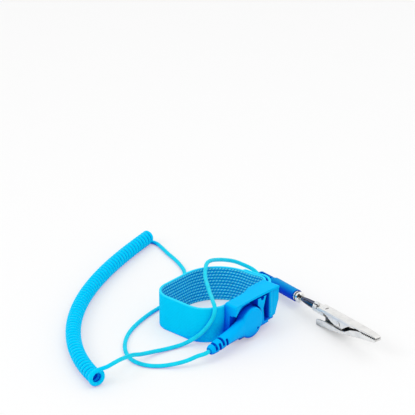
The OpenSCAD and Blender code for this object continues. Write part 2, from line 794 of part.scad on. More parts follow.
// extrudes a side outline across the clip
module across(w) {
    translate([0, w / 2, 0]) rotate([90, 0, 0]) linear_extrude(w) children();
}
module upper_side() {
    polygon([
        [5, 1.2], [5, 2.1], [10, 2.2], [24, 2.4], [34, 2.6], [40, 2.6], [47, 2.5], [clip_l - 1, 2.2],
        [clip_l, 1.8], [clip_l, teeth_z + 0.1], [teeth_from, teeth_z + 0.1], [teeth_from - 2, 1.8],
        [teeth_from - 6, 1.9], [33, 1.1], [30, -0.6], [27.4, -2.3], [20.6, -2.4], [17.5, -1.6], [14, 0.2],
        [10, 1.2]
    ]);
}
module upper_hollow() {
    polygon([
        [-1, -9], [-1, 1.5], [10, 1.6], [24, 1.8], [34, 2], [40, 2], [47, 1.9], [clip_l - 2, 1.7],
        [clip_l - 1.4, -9]
    ]);
}
// section of the upper jaw, rounded along its back
module arch(half, r) {
    rotate([90, 0, 90]) linear_extrude(clip_l + 4) {
        for (y = [-1, 1])
            translate([y * (half - r), 0.75]) circle(r = r);
        translate([r - half, 0]) square([2 * (half - r), 0.75 + r]);
        translate([-half, -9]) square([2 * half, 9.75]);
    }
}
// notches between the teeth, cut upward where depth is above zero and downward below it
module teeth_row(x0, count, z, depth) {
    skin = -0.02 * sign(depth);
    for (i = [0 : count - 1])
        translate([x0 + i * tooth, 0, z])
            across(clip_w + 2) polygon([[0, skin], [tooth, skin], [tooth / 2, depth]]);
}
module clip_upper_jaw() {
    color("silver") at_home()
    on_plug() {
        difference() {
            intersection() {
                across(clip_w) upper_side();
                translate([0, 0, -12]) linear_extrude(24) jaw_plan(0);
                arch(wall_out, 2.2);
            }
            intersection() {
                across(clip_w) upper_hollow();
                translate([0, 0, -12]) linear_extrude(24) jaw_plan(-sheet_t);
                translate([-2, 0, 0]) arch(wall_in, 1.6);
            }
            translate([pivot_x, 0, pivot_z]) bar_y(pivot_d / 2 + run_gap, -5, 5);
            teeth_row(teeth_from + 0.3, 9, teeth_z + 0.1, 0.5);
        }
        difference() {
            bar_x(barrel_r, 0, barrel_l);
            bar_x(leaf_r + spring_gap, -eps, barrel_l + eps);
            translate([3, 0, 0]) rotate([-50, 0, 0]) bar_y(1 + run_gap, -barrel_r - 1, 0);
        }
    }
}
module lower_side() {
    polygon([
        [4.4, -7.6], [4.9, -8.1], [9.6, -7.7], [16.8, -6.8], [25.7, -5.3], [34.4, -3.6], [43, -2.1],
        [clip_l - 1, -0.7], [clip_l, 0.2], [clip_l, teeth_z - 0.1], [teeth_from, teeth_z - 0.1],
        [teeth_from - 3, 0.7], [34, -0.6], [29.5, -3], [26, -3.7], [12, -3.7], [7, -4.2], [4.9, -4.7],
        [4.4, -5.2]
    ]);
}
module lower_hollow() {
    polygon([
        [-1, 5], [-1, -7.2], [4.9, -7.45], [9.6, -7.1], [16.8, -6.15], [25.7, -4.65], [34.4, -2.95],
        [43, -1.45], [clip_l - 2, -0.1], [clip_l - 1.4, 5]
    ]);
}
// ears of the lower jaw stand inside the upper jaw's cheeks
ear_out = wall_in - 0.15;
ear_in = ear_out - sheet_t;
module ear_side() {
    translate([pivot_x, pivot_z]) circle(r = 1.5);
    polygon([
        [pivot_x - 1.45, pivot_z], [pivot_x + 1.45, pivot_z], [pivot_x + 2.4, -4.1], [pivot_x + 2.4, -4.6],
        [pivot_x - 5, -4.6], [pivot_x - 5, -4.2]
    ]);
}
module clip_lower_jaw() {
    color("silver") at_home()
    on_plug()
    difference() {
        union() {
            difference() {
                intersection() {
                    across(clip_w) lower_side();
                    translate([0, 0, -12]) linear_extrude(24) jaw_plan(0);
                }
                intersection() {
                    across(clip_w) lower_hollow();
                    translate([0, 0, -12]) linear_extrude(24) jaw_plan(-sheet_t);
                }
            }
            for (s = [-1, 1])
                translate([0, s * (ear_out + ear_in) / 2, 0]) across(sheet_t) ear_side();
            // joggle that carries each ear on its cheek
            for (s = [-1, 1])
                translate([0, s > 0 ? ear_in : -wall_out + 0.1, 0])
                    box([pivot_x - 5, 0, -4.6], [pivot_x + 2.4, wall_out - ear_in - 0.1, -4]);
        }
        translate([pivot_x, 0, pivot_z]) bar_y(pivot_d / 2 + run_gap, -5, 5);
        teeth_row(teeth_from + 0.3 + tooth / 2, 9, teeth_z - 0.1, -0.75);
    }
}
module clip_pivot() {
    r = pivot_d / 2;
    color("gainsboro") at_home()
    on_plug()
    translate([pivot_x, 0, pivot_z]) {
        bar_y(r, -wall_out - 0.2, wall_out + 0.2);
        for (s = [-1, 1])
            translate([0, s * (wall_out + 0.08), 0]) rotate([-90 * s, 0, 0]) rivet_head(1.45, 0.55);
    }
}
// torsion spring round the pivot, one leg on each lever
spring_wire = 0.55;
spring_r = 1.35;
spring_from = -70;
spring_turns = 3.42;
spring_steps = 12;
spring_pitch = 0.9;
spring_count = round(spring_turns * spring_steps);
function spring_phase(i) = spring_from + 360 * i / spring_steps;
spring_coil = [
    for (i = [0 : spring_count])
        [
            pivot_x + spring_r * cos(spring_phase(i)),
            -spring_turns * spring_pitch / 2 + i * spring_pitch / spring_steps,
            pivot_z + spring_r * sin(spring_phase(i))
        ]
];
module clip_spring() {
    first = spring_coil[0];
    last = spring_coil[spring_count];
    points = concat(
        [[13, first[1], -6.1], [first[0] - 1.2, first[1], first[2] - 0.42]],
        spring_coil,
        [[last[0] - 1.2, last[1], last[2] + 0.12], [16.5, last[1], 1.3]]
    );
    color("silver") at_home() on_plug() wire(points, spring_wire / 2, 6);
}
// wire whose rings stand square to its run, for turns about Y
module wire(points, r, n) {
    side = [0, 1, 0];
    rings = [
        for (i = [0 : len(points) - 1])
            let (t = route_dir(points, i), u = unit(side - (side * t) * t)) ring(points[i], t, u, r, n)
    ];
    polyhedron(points = flatten(rings), faces = tube_faces(len(points), n));
}
module clip_screw() {
    color("gainsboro") at_home()
    on_plug()
    translate([3, 0, 0])
    rotate([-50, 0, 0])
    difference() {
        union() {
            bar_y(1, -barrel_r, -leaf_r - 0.1);
            bar_y(1.7, -barrel_r - 1.3, -barrel_r);
        }
        box([-2, -barrel_r - 1.4, -0.25], [2, -barrel_r - 0.7, 0.25]);
    }
}

echo(coil_gap = coil_gap, coil_end = coil_mid[ring_count]);
echo(home = home, snap_tip = from_snap([-tail_l, 0, tail_z]), boot_tip = from_plug([boot_x, 0, 0]));

wrist_band();
buckle_frame();
skin_plate();
plate_rivets();
strap_bar();
cam_lever();
lever_pin();
snap_stud();
stud_washer();
snap_housing();
snap_retainer();
snap_socket();
snap_ring();
snap_terminal();
resistor();
snap_boot();
snap_lead();
coil_cord();
plug_lead();
plug_boot();
plug_handle();
plug_collar();
banana_pin();
banana_spring();
clip_upper_jaw();
clip_lower_jaw();
clip_pivot();
clip_spring();
clip_screw();
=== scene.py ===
"""Looks of an antistatic wrist strap: webbing, buckle, snap connector, curly lead, banana plug and
alligator clip. Laid out as an add-on and run as a script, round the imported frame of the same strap."""

import math

import bmesh
import bpy
from bpy.props import FloatProperty, FloatVectorProperty, PointerProperty
from mathutils import Matrix, Vector


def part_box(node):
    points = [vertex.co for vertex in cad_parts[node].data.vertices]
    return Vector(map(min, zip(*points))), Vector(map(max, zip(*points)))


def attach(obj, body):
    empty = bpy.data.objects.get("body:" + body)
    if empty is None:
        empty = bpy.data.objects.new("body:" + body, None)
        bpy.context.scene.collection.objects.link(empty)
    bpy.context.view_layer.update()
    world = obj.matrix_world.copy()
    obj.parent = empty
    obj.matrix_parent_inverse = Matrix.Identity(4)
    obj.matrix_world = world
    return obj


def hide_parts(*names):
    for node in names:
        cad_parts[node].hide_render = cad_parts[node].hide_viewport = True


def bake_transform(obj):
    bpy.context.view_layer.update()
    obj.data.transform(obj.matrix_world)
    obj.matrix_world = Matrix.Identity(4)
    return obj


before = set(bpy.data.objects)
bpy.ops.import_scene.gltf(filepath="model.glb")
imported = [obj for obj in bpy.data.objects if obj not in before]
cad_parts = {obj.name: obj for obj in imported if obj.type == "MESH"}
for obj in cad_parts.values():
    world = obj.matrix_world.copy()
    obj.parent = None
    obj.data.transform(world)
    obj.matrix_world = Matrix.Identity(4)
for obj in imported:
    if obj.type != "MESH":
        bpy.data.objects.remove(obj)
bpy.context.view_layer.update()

bl_info = {
    "name": "Antistatic Wrist Strap",
    "version": (1, 0, 0),
    "blender": (4, 5, 0),
    "location": "3D View > Sidebar > Wrist Strap",
    "description": "Dresses the wrist strap's frame with its webbing, lead, connector and finishes",
    "category": "Object",
}

MM = 0.001
BUCKLE_LOW, BUCKLE_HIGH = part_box("buckle_frame")
# the drawing's origin is the middle of the buckle's length, this far in front of its back face
BUCKLE_BACK = 5.7 * MM
DRAWING = Vector(((BUCKLE_LOW.x + BUCKLE_HIGH.x) / 2, BUCKLE_HIGH.y - BUCKLE_BACK, 0))


def place(x, y, z):
    """A point of the drawing, in millimetres, as a place in the frame."""
    return DRAWING + Vector((x, y, z)) * MM


# ---- places that the frame shares ----
# the snap's stud, and the slope of the connector's tail
STUD = place(-6, 0, 10)
TAIL_TILT = math.radians(7)
FACING_OUT = Matrix.Rotation(math.radians(90), 4, "X")
CONNECTOR = Matrix.Translation(STUD) @ FACING_OUT @ Matrix.Rotation(TAIL_TILT, 4, "Z")
# how far the tail reaches from the stud, and its middle's distance from the buckle's face
TAIL_LENGTH = 32
TAIL_LEVEL = 4.3
RESISTOR_BACK = 13
# mouth of the clip's barrel, and the way that the plug points
MOUTH = place(33.3, -17.2, 7.8)
PLUG_TURN = math.radians(-106.5)
PLUG_RISE = math.radians(4.5)
PLUG_WAY = Matrix.Rotation(PLUG_TURN, 4, "Z") @ Matrix.Rotation(-PLUG_RISE, 4, "Y")
PLUG = Matrix.Translation(MOUTH) @ PLUG_WAY
PLUG_REAR = -53


def on_connector(x, y, z):
    """A point given from the stud, along the tail and outwards, in millimetres."""
    return CONNECTOR @ (Vector((x, y, z)) * MM)


def on_plug(x, y, z):
    """A point given from the clip's mouth, along the plug, in millimetres."""
    return PLUG @ (Vector((x, y, z)) * MM)


# ---- the lead's route ----
# from the connector along the table, behind the band, to the far end of the curls
ROUTE_TO_CURLS = [
    (-44.4, -2.3, 5.3), (-49.2, 0.5, 3.7), (-54.6, 4.9, 2.3), (-58.8, 9.7, 1.3), (-62.2, 14.1, 1.2),
    (-64, 19.3, 1.2), (-63.9, 24.8, 1.2), (-61.7, 30.3, 1.2), (-57.3, 36.1, 1.2), (-51.1, 41.4, 1.2),
    (-43.8, 45.7, 1.2), (-36.4, 48.5, 1.2), (-28.2, 50.6, 1.2), (-20.5, 51.9, 1.2), (-12.6, 52.6, 1.2),
    (-3, 53.8, 1.2), (8, 57.2, 1.2), (19, 63.4, 1.2), (28.2, 71.4, 1.2), (31.6, 76.9, 1.2),
    (35, 83.7, 1.2), (38.5, 93, 1.2), (41.8, 100.6, 1.2),
]
# from the near end of the curls, over both rims of the band, to the banana plug
ROUTE_TO_PLUG = [
    (-84, 18.3, 10.6), (-80, 18.7, 10.3), (-76, 19.5, 9.4), (-72, 20.6, 8.2), (-68.2, 21.7, 6.9),
    (-64.5, 22.4, 5.5), (-60.3, 22.5, 3.9), (-55.5, 21.9, 2.9), (-50.7, 21.1, 2.1), (-46.5, 19.9, 1.6),
    (-41.8, 18.4, 1.3), (-36, 16.2, 1.5), (-31.6, 13.9, 3), (-29.1, 9.7, 7), (-26.8, 6.2, 12.2),
    (-24.9, 4.4, 17), (-24.1, 3.8, 21), (-23.3, 4.7, 22.8), (-20.8, 7.8, 23), (-16.6, 12.3, 22.4),
    (-12.1, 17.7, 21.8), (-6.7, 23.7, 21.5), (-1.2, 30, 21.4), (3.9, 34.8, 21.5), (9.1, 38.9, 21.6),
    (12.5, 41.2, 21.6), (16.4, 42.9, 20.9), (23.9, 45.8, 18), (34.4, 46.9, 13.7), (41.5, 45.8, 10.4),
    (46.4, 42.8, 7.2), (49.2, 39.2, 4.8),
]
# where the curls start, their heading there, and how they bend along their way, in degrees a millimetre
CURLS_START = (43, 111.5)
CURLS_HEADING = 190.7
CURLS_BEND = 0.072
CURLS_TIGHTEN = 0.00171
RINGS_A_CURL = 24
# how far the curls lie clear of the table
CURLS_CLEAR = 0.1
# the last curl opens up by this much, over so many curls
CURLS_FLARE = 1.3
FLARE_TURNS = 1.6
# the lead runs straight this far at each of its ends, and before and after its curls
STRAIGHT_RUN = 2.5
# spacing of the lead's points where it isn't curled, and how often its kinks are softened
LEAD_SPACING = 0.8
LEAD_EASINGS = 3


def smooth(t):
    """Rises smoothly from 0 to 1 as t does."""
    t = min(1, max(0, t))
    return t * t * (3 - 2 * t)


def curls(sizes):
    """Points of the curly stretch, with the way the lead enters and leaves it."""
    pitch = sizes.curl_pitch / MM
    radius = (sizes.curl_width - sizes.diameter) / MM / 2
    level = sizes.curl_width / MM / 2 + CURLS_CLEAR
    step = pitch / RINGS_A_CURL
    count = round(sizes.curls * RINGS_A_CURL)

    def heading(run):
        return math.radians(CURLS_HEADING + CURLS_BEND * run + CURLS_TIGHTEN * run * run)

    x, y = CURLS_START
    points = []
    for i in range(count + 1):
        way = heading(i * step)
        side = Vector((-math.sin(way), math.cos(way), 0))
        phase = math.radians(-90) - math.tau * i / RINGS_A_CURL
        spoke = side * math.cos(phase) + Vector((0, 0, math.sin(phase)))
        flare = CURLS_FLARE * smooth((i - count) / (FLARE_TURNS * RINGS_A_CURL) + 1)
        points.append(place(x, y, level + flare) + spoke * (radius + flare) * MM)
        half = heading((i + 0.5) * step)
        x += step * math.cos(half)
        y += step * math.sin(half)
    first = heading(0)
    enter = Vector((math.sin(first), -math.cos(first), 0))
    return points, enter, side


def spline(points, spacing):
    """A smooth line through the points, with steps of about the given spacing."""
    line = []
    padded = [2 * points[0] - points[1], *points, 2 * points[-1] - points[-2]]
    for a, b, c, d in zip(padded, padded[1:], padded[2:], padded[3:]):
        spans = [max(1e-9, (q - p).length) ** 0.5 for p, q in ((a, b), (b, c), (c, d))]
        start = ((b - a) / spans[0] - (c - a) / (spans[0] + spans[1]) + (c - b) / spans[1]) * spans[1]
        end = ((c - b) / spans[1] - (d - b) / (spans[1] + spans[2]) + (d - c) / spans[2]) * spans[1]
        count = max(1, round((c - b).length / spacing))
        for t in (i / count for i in range(count)):
            from_b = (2 * t**3 - 3 * t**2 + 1) * b + (t**3 - 2 * t**2 + t) * start
            line.append(from_b + (3 * t**2 - 2 * t**3) * c + (t**3 - t**2) * end)
    line.append(points[-1])
    return line


def lead_line(sizes):
    """The lead's middle line, and its run at the curls' first and last point, in millimetres."""
    turns, enter, leave = curls(sizes)
    near = sizes.diameter
    far = near + STRAIGHT_RUN * MM
    tail = [on_connector(-TAIL_LENGTH - run, 0, TAIL_LEVEL) for run in (0, STRAIGHT_RUN)]
    into = [turns[0] - enter * far, turns[0] - enter * near]
    out = [turns[-1] + leave * near, turns[-1] + leave * far]
    plug = [on_plug(PLUG_REAR - run, 0, 0) for run in (STRAIGHT_RUN, 0)]
    first = spline([*tail, *(place(*p) for p in ROUTE_TO_CURLS), *into], LEAD_SPACING * MM)
    last = spline([*out, *(place(*p) for p in ROUTE_TO_PLUG), *plug], LEAD_SPACING * MM)
    line = eased([*first, *turns, *last], LEAD_EASINGS)
    runs = (length_of(line[:len(first)]), length_of(line[:len(first) + len(turns)]))
    return line, runs[0] / MM, runs[1] / MM


def eased(line, passes):
    """The line with its kinks softened and its ends kept."""
    for _ in range(passes):
        middle = [(a + 2 * b + c) / 4 for a, b, c in zip(line, line[1:], line[2:])]
        line = [line[0], *middle, line[-1]]
    return line


def steps(line):
    """Each point of a line, with the line's way there and its run from the start."""
    run = 0
    for i, point in enumerate(line):
        before = line[max(0, i - 1)]
        run += (point - before).length
        yield point, (line[min(len(line) - 1, i + 1)] - before).normalized(), run


def length_of(line):
    """Length of a line of points."""
    return sum((b - a).length for a, b in zip(line, line[1:]))


# ---- the band's way ----
# the middle of the loop's four sides, and the radii of its corners
BAND_LEFT = -27
BAND_RIGHT = 22
BAND_FRONT = 3.9
BAND_BACK = 44.4
CORNERS = {"front_left": 11, "back_left": 10, "back_right": 22.5, "front_right": 9}
# where the band starts, the bar that it turns round, and its middle's distance from the bar's
FIXED_END = 2.4
BAR = (8, 2.35)
WRAP = 1.55
# the free end's distance from the loop, where it stops on the last corner, and its own corners' radius
TAIL_OFF = 1.75
TAIL_ANGLE = 14
TONGUE = 6
# height of the buckle's slot, and the stretch where the band comes down to the table
SLOT_LEVEL = 1.4
DROP = (5, 20)


def arc(centre, start_radius, end_radius, start, end, step=1.0):
    """Points round a centre, in degrees, with the last one left out."""
    count = max(2, round(math.radians(abs(end - start)) * max(start_radius, end_radius) / step))
    points = []
    for i in range(count):
        t = i / count
        turn = math.radians(start + (end - start) * t)
        radius = start_radius + (end_radius - start_radius) * t
        points.append(Vector((centre[0] + radius * math.cos(turn), centre[1] + radius * math.sin(turn))))
    return points


def straight(start, end, step=1.5):
    """Points along a line, with the last one left out."""
    start, end = Vector(start), Vector(end)
    count = max(1, round((end - start).length / step))
    return [start.lerp(end, i / count) for i in range(count)]


def band_line():
    """The webbing's middle line as seen from above, and where it comes to the bar."""
    fl, bl, br, fr = CORNERS.values()
    c_fl = (BAND_LEFT + fl, BAND_FRONT + fl)
    c_bl = (BAND_LEFT + bl, BAND_BACK - bl)
    c_br = (BAND_RIGHT - br, BAND_BACK - br)
    c_fr = (BAND_RIGHT - fr, BAND_FRONT + fr)
    loop = [
        *straight((FIXED_END, BAND_FRONT), (c_fl[0], BAND_FRONT)),
        *arc(c_fl, fl, fl, -90, -180),
        *straight((BAND_LEFT, c_fl[1]), (BAND_LEFT, c_bl[1])),
        *arc(c_bl, bl, bl, 180, 90),
        *straight((c_bl[0], BAND_BACK), (c_br[0], BAND_BACK)),
        *arc(c_br, br, br, 90, 0),
        *straight((BAND_RIGHT, c_br[1]), (BAND_RIGHT, c_fr[1])),
        *arc(c_fr, fr, fr, 0, -90),
        *straight((c_fr[0], BAND_FRONT), (BAR[0], BAND_FRONT)),
    ]
    turn = arc(BAR, WRAP, WRAP, 90, 270, 0.3)
    tail = [
        *straight((BAR[0], BAR[1] - WRAP), (c_fr[0], BAR[1] - WRAP)),
        *arc(c_fr, fr + 2 * WRAP, fr + TAIL_OFF, -90, 0),
        *straight((BAND_RIGHT + TAIL_OFF, c_fr[1]), (BAND_RIGHT + TAIL_OFF, c_br[1])),
        *arc(c_br, br + TAIL_OFF, br + TAIL_OFF, 0, TAIL_ANGLE + 1, 0.3),
    ]
    return [*loop, *turn, *tail], len(loop)


def band_level(y):
    """Height of the webbing's lower edge: at the slot in front, on the table behind."""
    return SLOT_LEVEL * (1 - smooth((y - DROP[0]) / (DROP[1] - DROP[0])))


def tongue(left):
    """How far each edge of the free end draws in, this far from its tip."""
    short = max(0, TONGUE - left)
    return TONGUE - math.sqrt(TONGUE * TONGUE - short * short)


def band_section(webbing):
    """Offset and height round the webbing's cross-section."""
    half = webbing.thickness / MM / 2
    wide = webbing.width / MM
    soft, rows = 0.5, 12
    section = []
    for side in (1, -1):
        heights = [soft + (wide - 2 * soft) * i / rows for i in range(rows + 1)]
        for height in heights if side > 0 else reversed(heights):
            section.append((side * half, height))
        base, reach = (wide - soft, soft) if side > 0 else (soft, -soft)
        for i in range(1, 8):
            lean = math.radians(22.5 * i)
            section.append((side * half * math.cos(lean), base + reach * math.sin(lean)))
    return section


def along_from_end(line, back):
    """The point this far back from a line's end, and the line's way there."""
    left = back
    for a, b in zip(reversed(line[:-1]), reversed(line[1:])):
        if (b - a).length >= left:
            return b.lerp(a, left / (b - a).length), (b - a).normalized()
        left -= (b - a).length
    raise ValueError("the line is shorter than that")


# ---- meshes ----
def new_piece(name, vertices, faces, *materials):
    """An object with these faces, in the scene."""
    mesh = bpy.data.meshes.new(name)
    mesh.from_pydata([tuple(v) for v in vertices], [], faces)
    mesh.update()
    for material in materials:
        mesh.materials.append(material)
    mesh.shade_smooth()
    piece = bpy.data.objects.new(name, mesh)
    bpy.context.scene.collection.objects.link(piece)
    return piece


def give(piece, name, values):
    """Stores one vector for each vertex, for the materials to read."""
    attribute = piece.data.attributes.new(name, "FLOAT_VECTOR", "POINT")
    attribute.data.foreach_set("vector", [number for value in values for number in value])


def walls(rings, sides, start=0):
    """Faces between rings of vertices that follow each other."""
    faces = []
    for i in range(rings - 1):
        for k in range(sides):
            a, b = start + i * sides + k, start + i * sides + (k + 1) % sides
            faces.append((a, b, b + sides, a + sides))
    return faces


def ends(rings, sides):
    """Faces that close the first and the last ring."""
    last = (rings - 1) * sides
    return [tuple(range(sides - 1, -1, -1)), tuple(range(last, last + sides))]


def circle(count):
    """Cosine and sine of this many even steps round a circle."""
    turns = [math.tau * k / count for k in range(count)]
    return [(math.cos(turn), math.sin(turn)) for turn in turns]


def tube(line, radius, sides):
    """Vertices, faces and run along the line of a round tube with flat ends."""
    across = (line[1] - line[0]).normalized().orthogonal().normalized()
    vertices, runs = [], []
    for point, way, run in steps(line):
        across = (across - way * across.dot(way)).normalized()
        other = way.cross(across)
        for k, (c, s) in enumerate(circle(sides)):
            vertices.append(point + radius * (c * across + s * other))
            runs.append((run / MM, k / sides, 0))
    return vertices, walls(len(line), sides) + ends(len(line), sides), runs


def turned(profile, segments):
    """Vertices and faces of a closed profile, from its axis to its axis, turned about Z."""
    inner = profile[1:-1]
    vertices = [Vector((0, 0, profile[0][1])) * MM, Vector((0, 0, profile[-1][1])) * MM]
    for r, z in inner:
        vertices += [Vector((r * c, r * s, z)) * MM for c, s in circle(segments)]
    faces = walls(len(inner), segments, 2)
    top = len(vertices) - segments
    for k in range(segments):
        after = (k + 1) % segments
        faces += [(0, 2 + after, 2 + k), (1, top + k, top + after)]
    return vertices, faces


def loft(sections, sides):
    """Vertices and faces through rounded sections (x, half width, low, high, squareness) along X."""
    vertices = []
    for x, half, low, high, square in sections:
        for c, s in circle(sides):
            y = half * math.copysign(abs(c) ** (2 / square), c)
            z = (low + high) / 2 + (high - low) / 2 * math.copysign(abs(s) ** (2 / square), s)
            vertices.append(Vector((x, y, z)) * MM)
    return vertices, ends(len(sections), sides) + walls(len(sections), sides)


def block(low, high):
    """Vertices and faces of a box between two corners, in millimetres."""
    spans = list(zip(low, high))
    vertices = [Vector((x, y, z)) * MM for x in spans[0] for y in spans[1] for z in spans[2]]
    faces = [(0, 1, 3, 2), (4, 6, 7, 5), (0, 4, 5, 1), (2, 3, 7, 6), (0, 2, 6, 4), (1, 5, 7, 3)]
    return vertices, faces


def joined(shapes):
    """One list of vertices and faces from several."""
    vertices, faces = [], []
    for some_vertices, some_faces in shapes:
        start = len(vertices)
        vertices.extend(some_vertices)
        faces.extend(tuple(start + i for i in face) for face in some_faces)
    return vertices, faces


def outward(piece):
    """Turns all faces of a closed piece outwards."""
    mesh = bmesh.new()
    mesh.from_mesh(piece.data)
    bmesh.ops.recalc_face_normals(mesh, faces=mesh.faces)
    mesh.to_mesh(piece.data)
    mesh.free()


def settled(piece, *modifiers):
    """Replaces a piece's mesh with what these modifiers make of it, each a kind and its settings."""
    for kind, settings in modifiers:
        modifier = piece.modifiers.new(kind.lower(), kind)
        for name, value in settings.items():
            setattr(modifier, name, value)
    graph = bpy.context.evaluated_depsgraph_get()
    mesh = bpy.data.meshes.new_from_object(piece.evaluated_get(graph))
    piece.modifiers.clear()
    piece.data = mesh


# spacing of the mouldings' points
VOXEL = 0.2 * MM


def moulded(name, solids, cuts, softenings, material):
    """A moulded piece: solids made one, cuts taken out of it, and its edges softened."""
    piece = new_piece(name, *joined(solids))
    cutter = new_piece(name + "_cuts", *joined(cuts))
    outward(piece)
    outward(cutter)
    skin = ("REMESH", {"mode": "VOXEL", "voxel_size": VOXEL})
    cut = ("BOOLEAN", {"operation": "DIFFERENCE", "object": cutter, "solver": "EXACT", "use_self": True})
    settled(piece, skin)
    settled(piece, cut, skin, ("SMOOTH", {"factor": 0.5, "iterations": softenings}))
    bpy.data.objects.remove(cutter)
    piece.data.materials.clear()
    piece.data.materials.append(material)
    piece.data.shade_smooth()
    return piece


def dress(material, *nodes):
    """Gives frame nodes a finish."""
    for name in nodes:
        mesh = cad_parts[name].data
        mesh.materials.clear()
        mesh.materials.append(material)


# ---- shader sums ----
def operator(operation):
    """A sum of two numbers, and the same with the two the other way round."""
    return (
        lambda self, other: self.sum(operation, self, other),
        lambda self, other: self.sum(operation, other, self),
    )


class Value:
    """A number from a shader socket, whose sums add the Math nodes that work them out."""

    def __init__(self, finish, socket):
        self.finish = finish
        self.socket = socket

    def sum(self, operation, first, second=0.0):
        return self.finish.take("ShaderNodeMath", 0, {"operation": operation}, {0: first, 1: second})

    __add__, __radd__ = operator("ADD")
    __sub__, __rsub__ = operator("SUBTRACT")
    __mul__, __rmul__ = operator("MULTIPLY")
    __truediv__, __rtruediv__ = operator("DIVIDE")
    __pow__, __rpow__ = operator("POWER")
    __mod__, __rmod__ = operator("FLOORED_MODULO")

    def __abs__(self):
        return self.sum("ABSOLUTE", self)

    def floor(self):
        return self.sum("FLOOR", self)

    def wave(self):
        """A smooth wave from 0 to 1, one for each whole number."""
        return self.sum("SINE", self * math.tau) * 0.5 + 0.5


class Finish:
    """A material, or the studio round the strap, under construction."""

    def __init__(self, name, owner=None):
        self.material = owner or bpy.data.materials.new(name)
        self.material.use_nodes = True
        self.tree = self.material.node_tree
        self.tree.nodes.clear()

    def node(self, kind, settings=None, inputs=None):
        """One node, with its settings made before its sockets are filled or linked."""
        made = self.tree.nodes.new(kind)
        for name, value in (settings or {}).items():
            setattr(made, name, value)
        for key, value in (inputs or {}).items():
            if isinstance(value, Value):
                self.tree.links.new(value.socket, made.inputs[key])
            else:
                made.inputs[key].default_value = value
        return made

    def take(self, kind, output, settings=None, inputs=None):
        """One output of a new node."""
        return Value(self, self.node(kind, settings, inputs).outputs[output])

    def parts(self, vector):
        """The three numbers of a vector."""
        return [Value(self, part) for part in self.node("ShaderNodeSeparateXYZ", None, {0: vector}).outputs]

    def stored(self, name):
        """The three numbers that the mesh keeps under this name."""
        return self.parts(self.take("ShaderNodeAttribute", "Vector", {"attribute_name": name}))

    def coordinates(self):
        """Places on the piece, in metres."""
        return self.take("ShaderNodeTexCoord", "Object")

    def stretched(self, scale):
        """Places on the piece, scaled along each axis."""
        inputs = {0: self.coordinates(), 1: scale}
        return self.take("ShaderNodeVectorMath", 0, {"operation": "MULTIPLY"}, inputs)

    def noise(self, scale, detail=2.0, where=None):
        """Soft noise from 0 to 1, with so many spots a metre."""
        inputs = {"Vector": where or self.coordinates(), "Scale": scale, "Detail": detail}
        return self.take("ShaderNodeTexNoise", 0, None, inputs)

    def step(self, value, low, high):
        """0 below low, 1 above high and smooth between."""
        inputs = {"Value": value, "From Min": low, "From Max": high}
        return self.take("ShaderNodeMapRange", 0, {"interpolation_type": "SMOOTHSTEP"}, inputs)

    def mix(self, share, first, second):
        """A colour between two."""
        inputs = {0: share, 6: coloured(first), 7: coloured(second)}
        return self.take("ShaderNodeMix", 2, {"data_type": "RGBA"}, inputs)

    def tones(self, share, colour, first, second):
        """A colour between two shades of itself."""
        return self.mix(share, shaded(colour, first), shaded(colour, second))

    def bump(self, height, depth, normal=None, strength=1.0):
        """The surface's direction where a height in units of depth, in metres, is laid on it."""
        inputs = {"Height": height, "Distance": depth, "Strength": strength}
        if normal is not None:
            inputs["Normal"] = normal
        return self.take("ShaderNodeBump", 0, None, inputs)

    def rounded(self, radius):
        """The surface's direction with its edges rounded over."""
        return self.take("ShaderNodeBevel", 0, {"samples": 6}, {"Radius": radius})

    def edges(self, radius):
        """1 along the edges, as far in as the radius reaches, and 0 on open faces."""
        true = self.take("ShaderNodeNewGeometry", "True Normal")
        inputs = {0: self.rounded(radius), 1: true}
        along = self.take("ShaderNodeVectorMath", 1, {"operation": "DOT_PRODUCT"}, inputs)
        return self.step(1.0 - along, 0.02, 0.12)

    def hollows(self, reach, low, high):
        """The share of painted shade: 1 where no more than the low share within reach is open, and 0 from
        the high share.
        """
        open_share = self.take("ShaderNodeAmbientOcclusion", "AO", {"samples": 8}, {"Distance": reach})
        return 1.0 - self.step(open_share, low, high)

    def surface(self, sockets):
        """Ends the material in one shader with these sockets."""
        shader = self.take("ShaderNodeBsdfPrincipled", 0, None, sockets)
        self.node("ShaderNodeOutputMaterial", None, {"Surface": shader})
        return self.material


def coloured(colour):
    """A colour as a socket takes it."""
    return colour if isinstance(colour, Value) else (*colour[:3], 1.0)


def painted_shade_colour(colour, blue, green=0.15):
    """A colour darkened towards deep blue, painted in as shade where other pieces or the table close a
    piece in.
    """
    return colour[0] * 0.1, colour[1] * green, colour[2] * blue


def shaded(colour, share):
    """A colour made darker, or lighter where the share is over 1."""
    return tuple(min(1.0, part * share) for part in colour[:3])


# how much of the table's colour the camera sees without shadows
PALE = 0.4
# gloss of blue plastic under soft light
GLOSS_TINT = (0.2, 0.9, 1.0, 1.0)


# ---- finishes ----
def near_edges(finish, webbing, across, depth):
    """1 at the webbing's two edges, and 0 from this depth inwards, in millimetres."""
    middle = webbing.width / MM / 2
    return finish.step(abs(across - middle), middle - depth, middle)


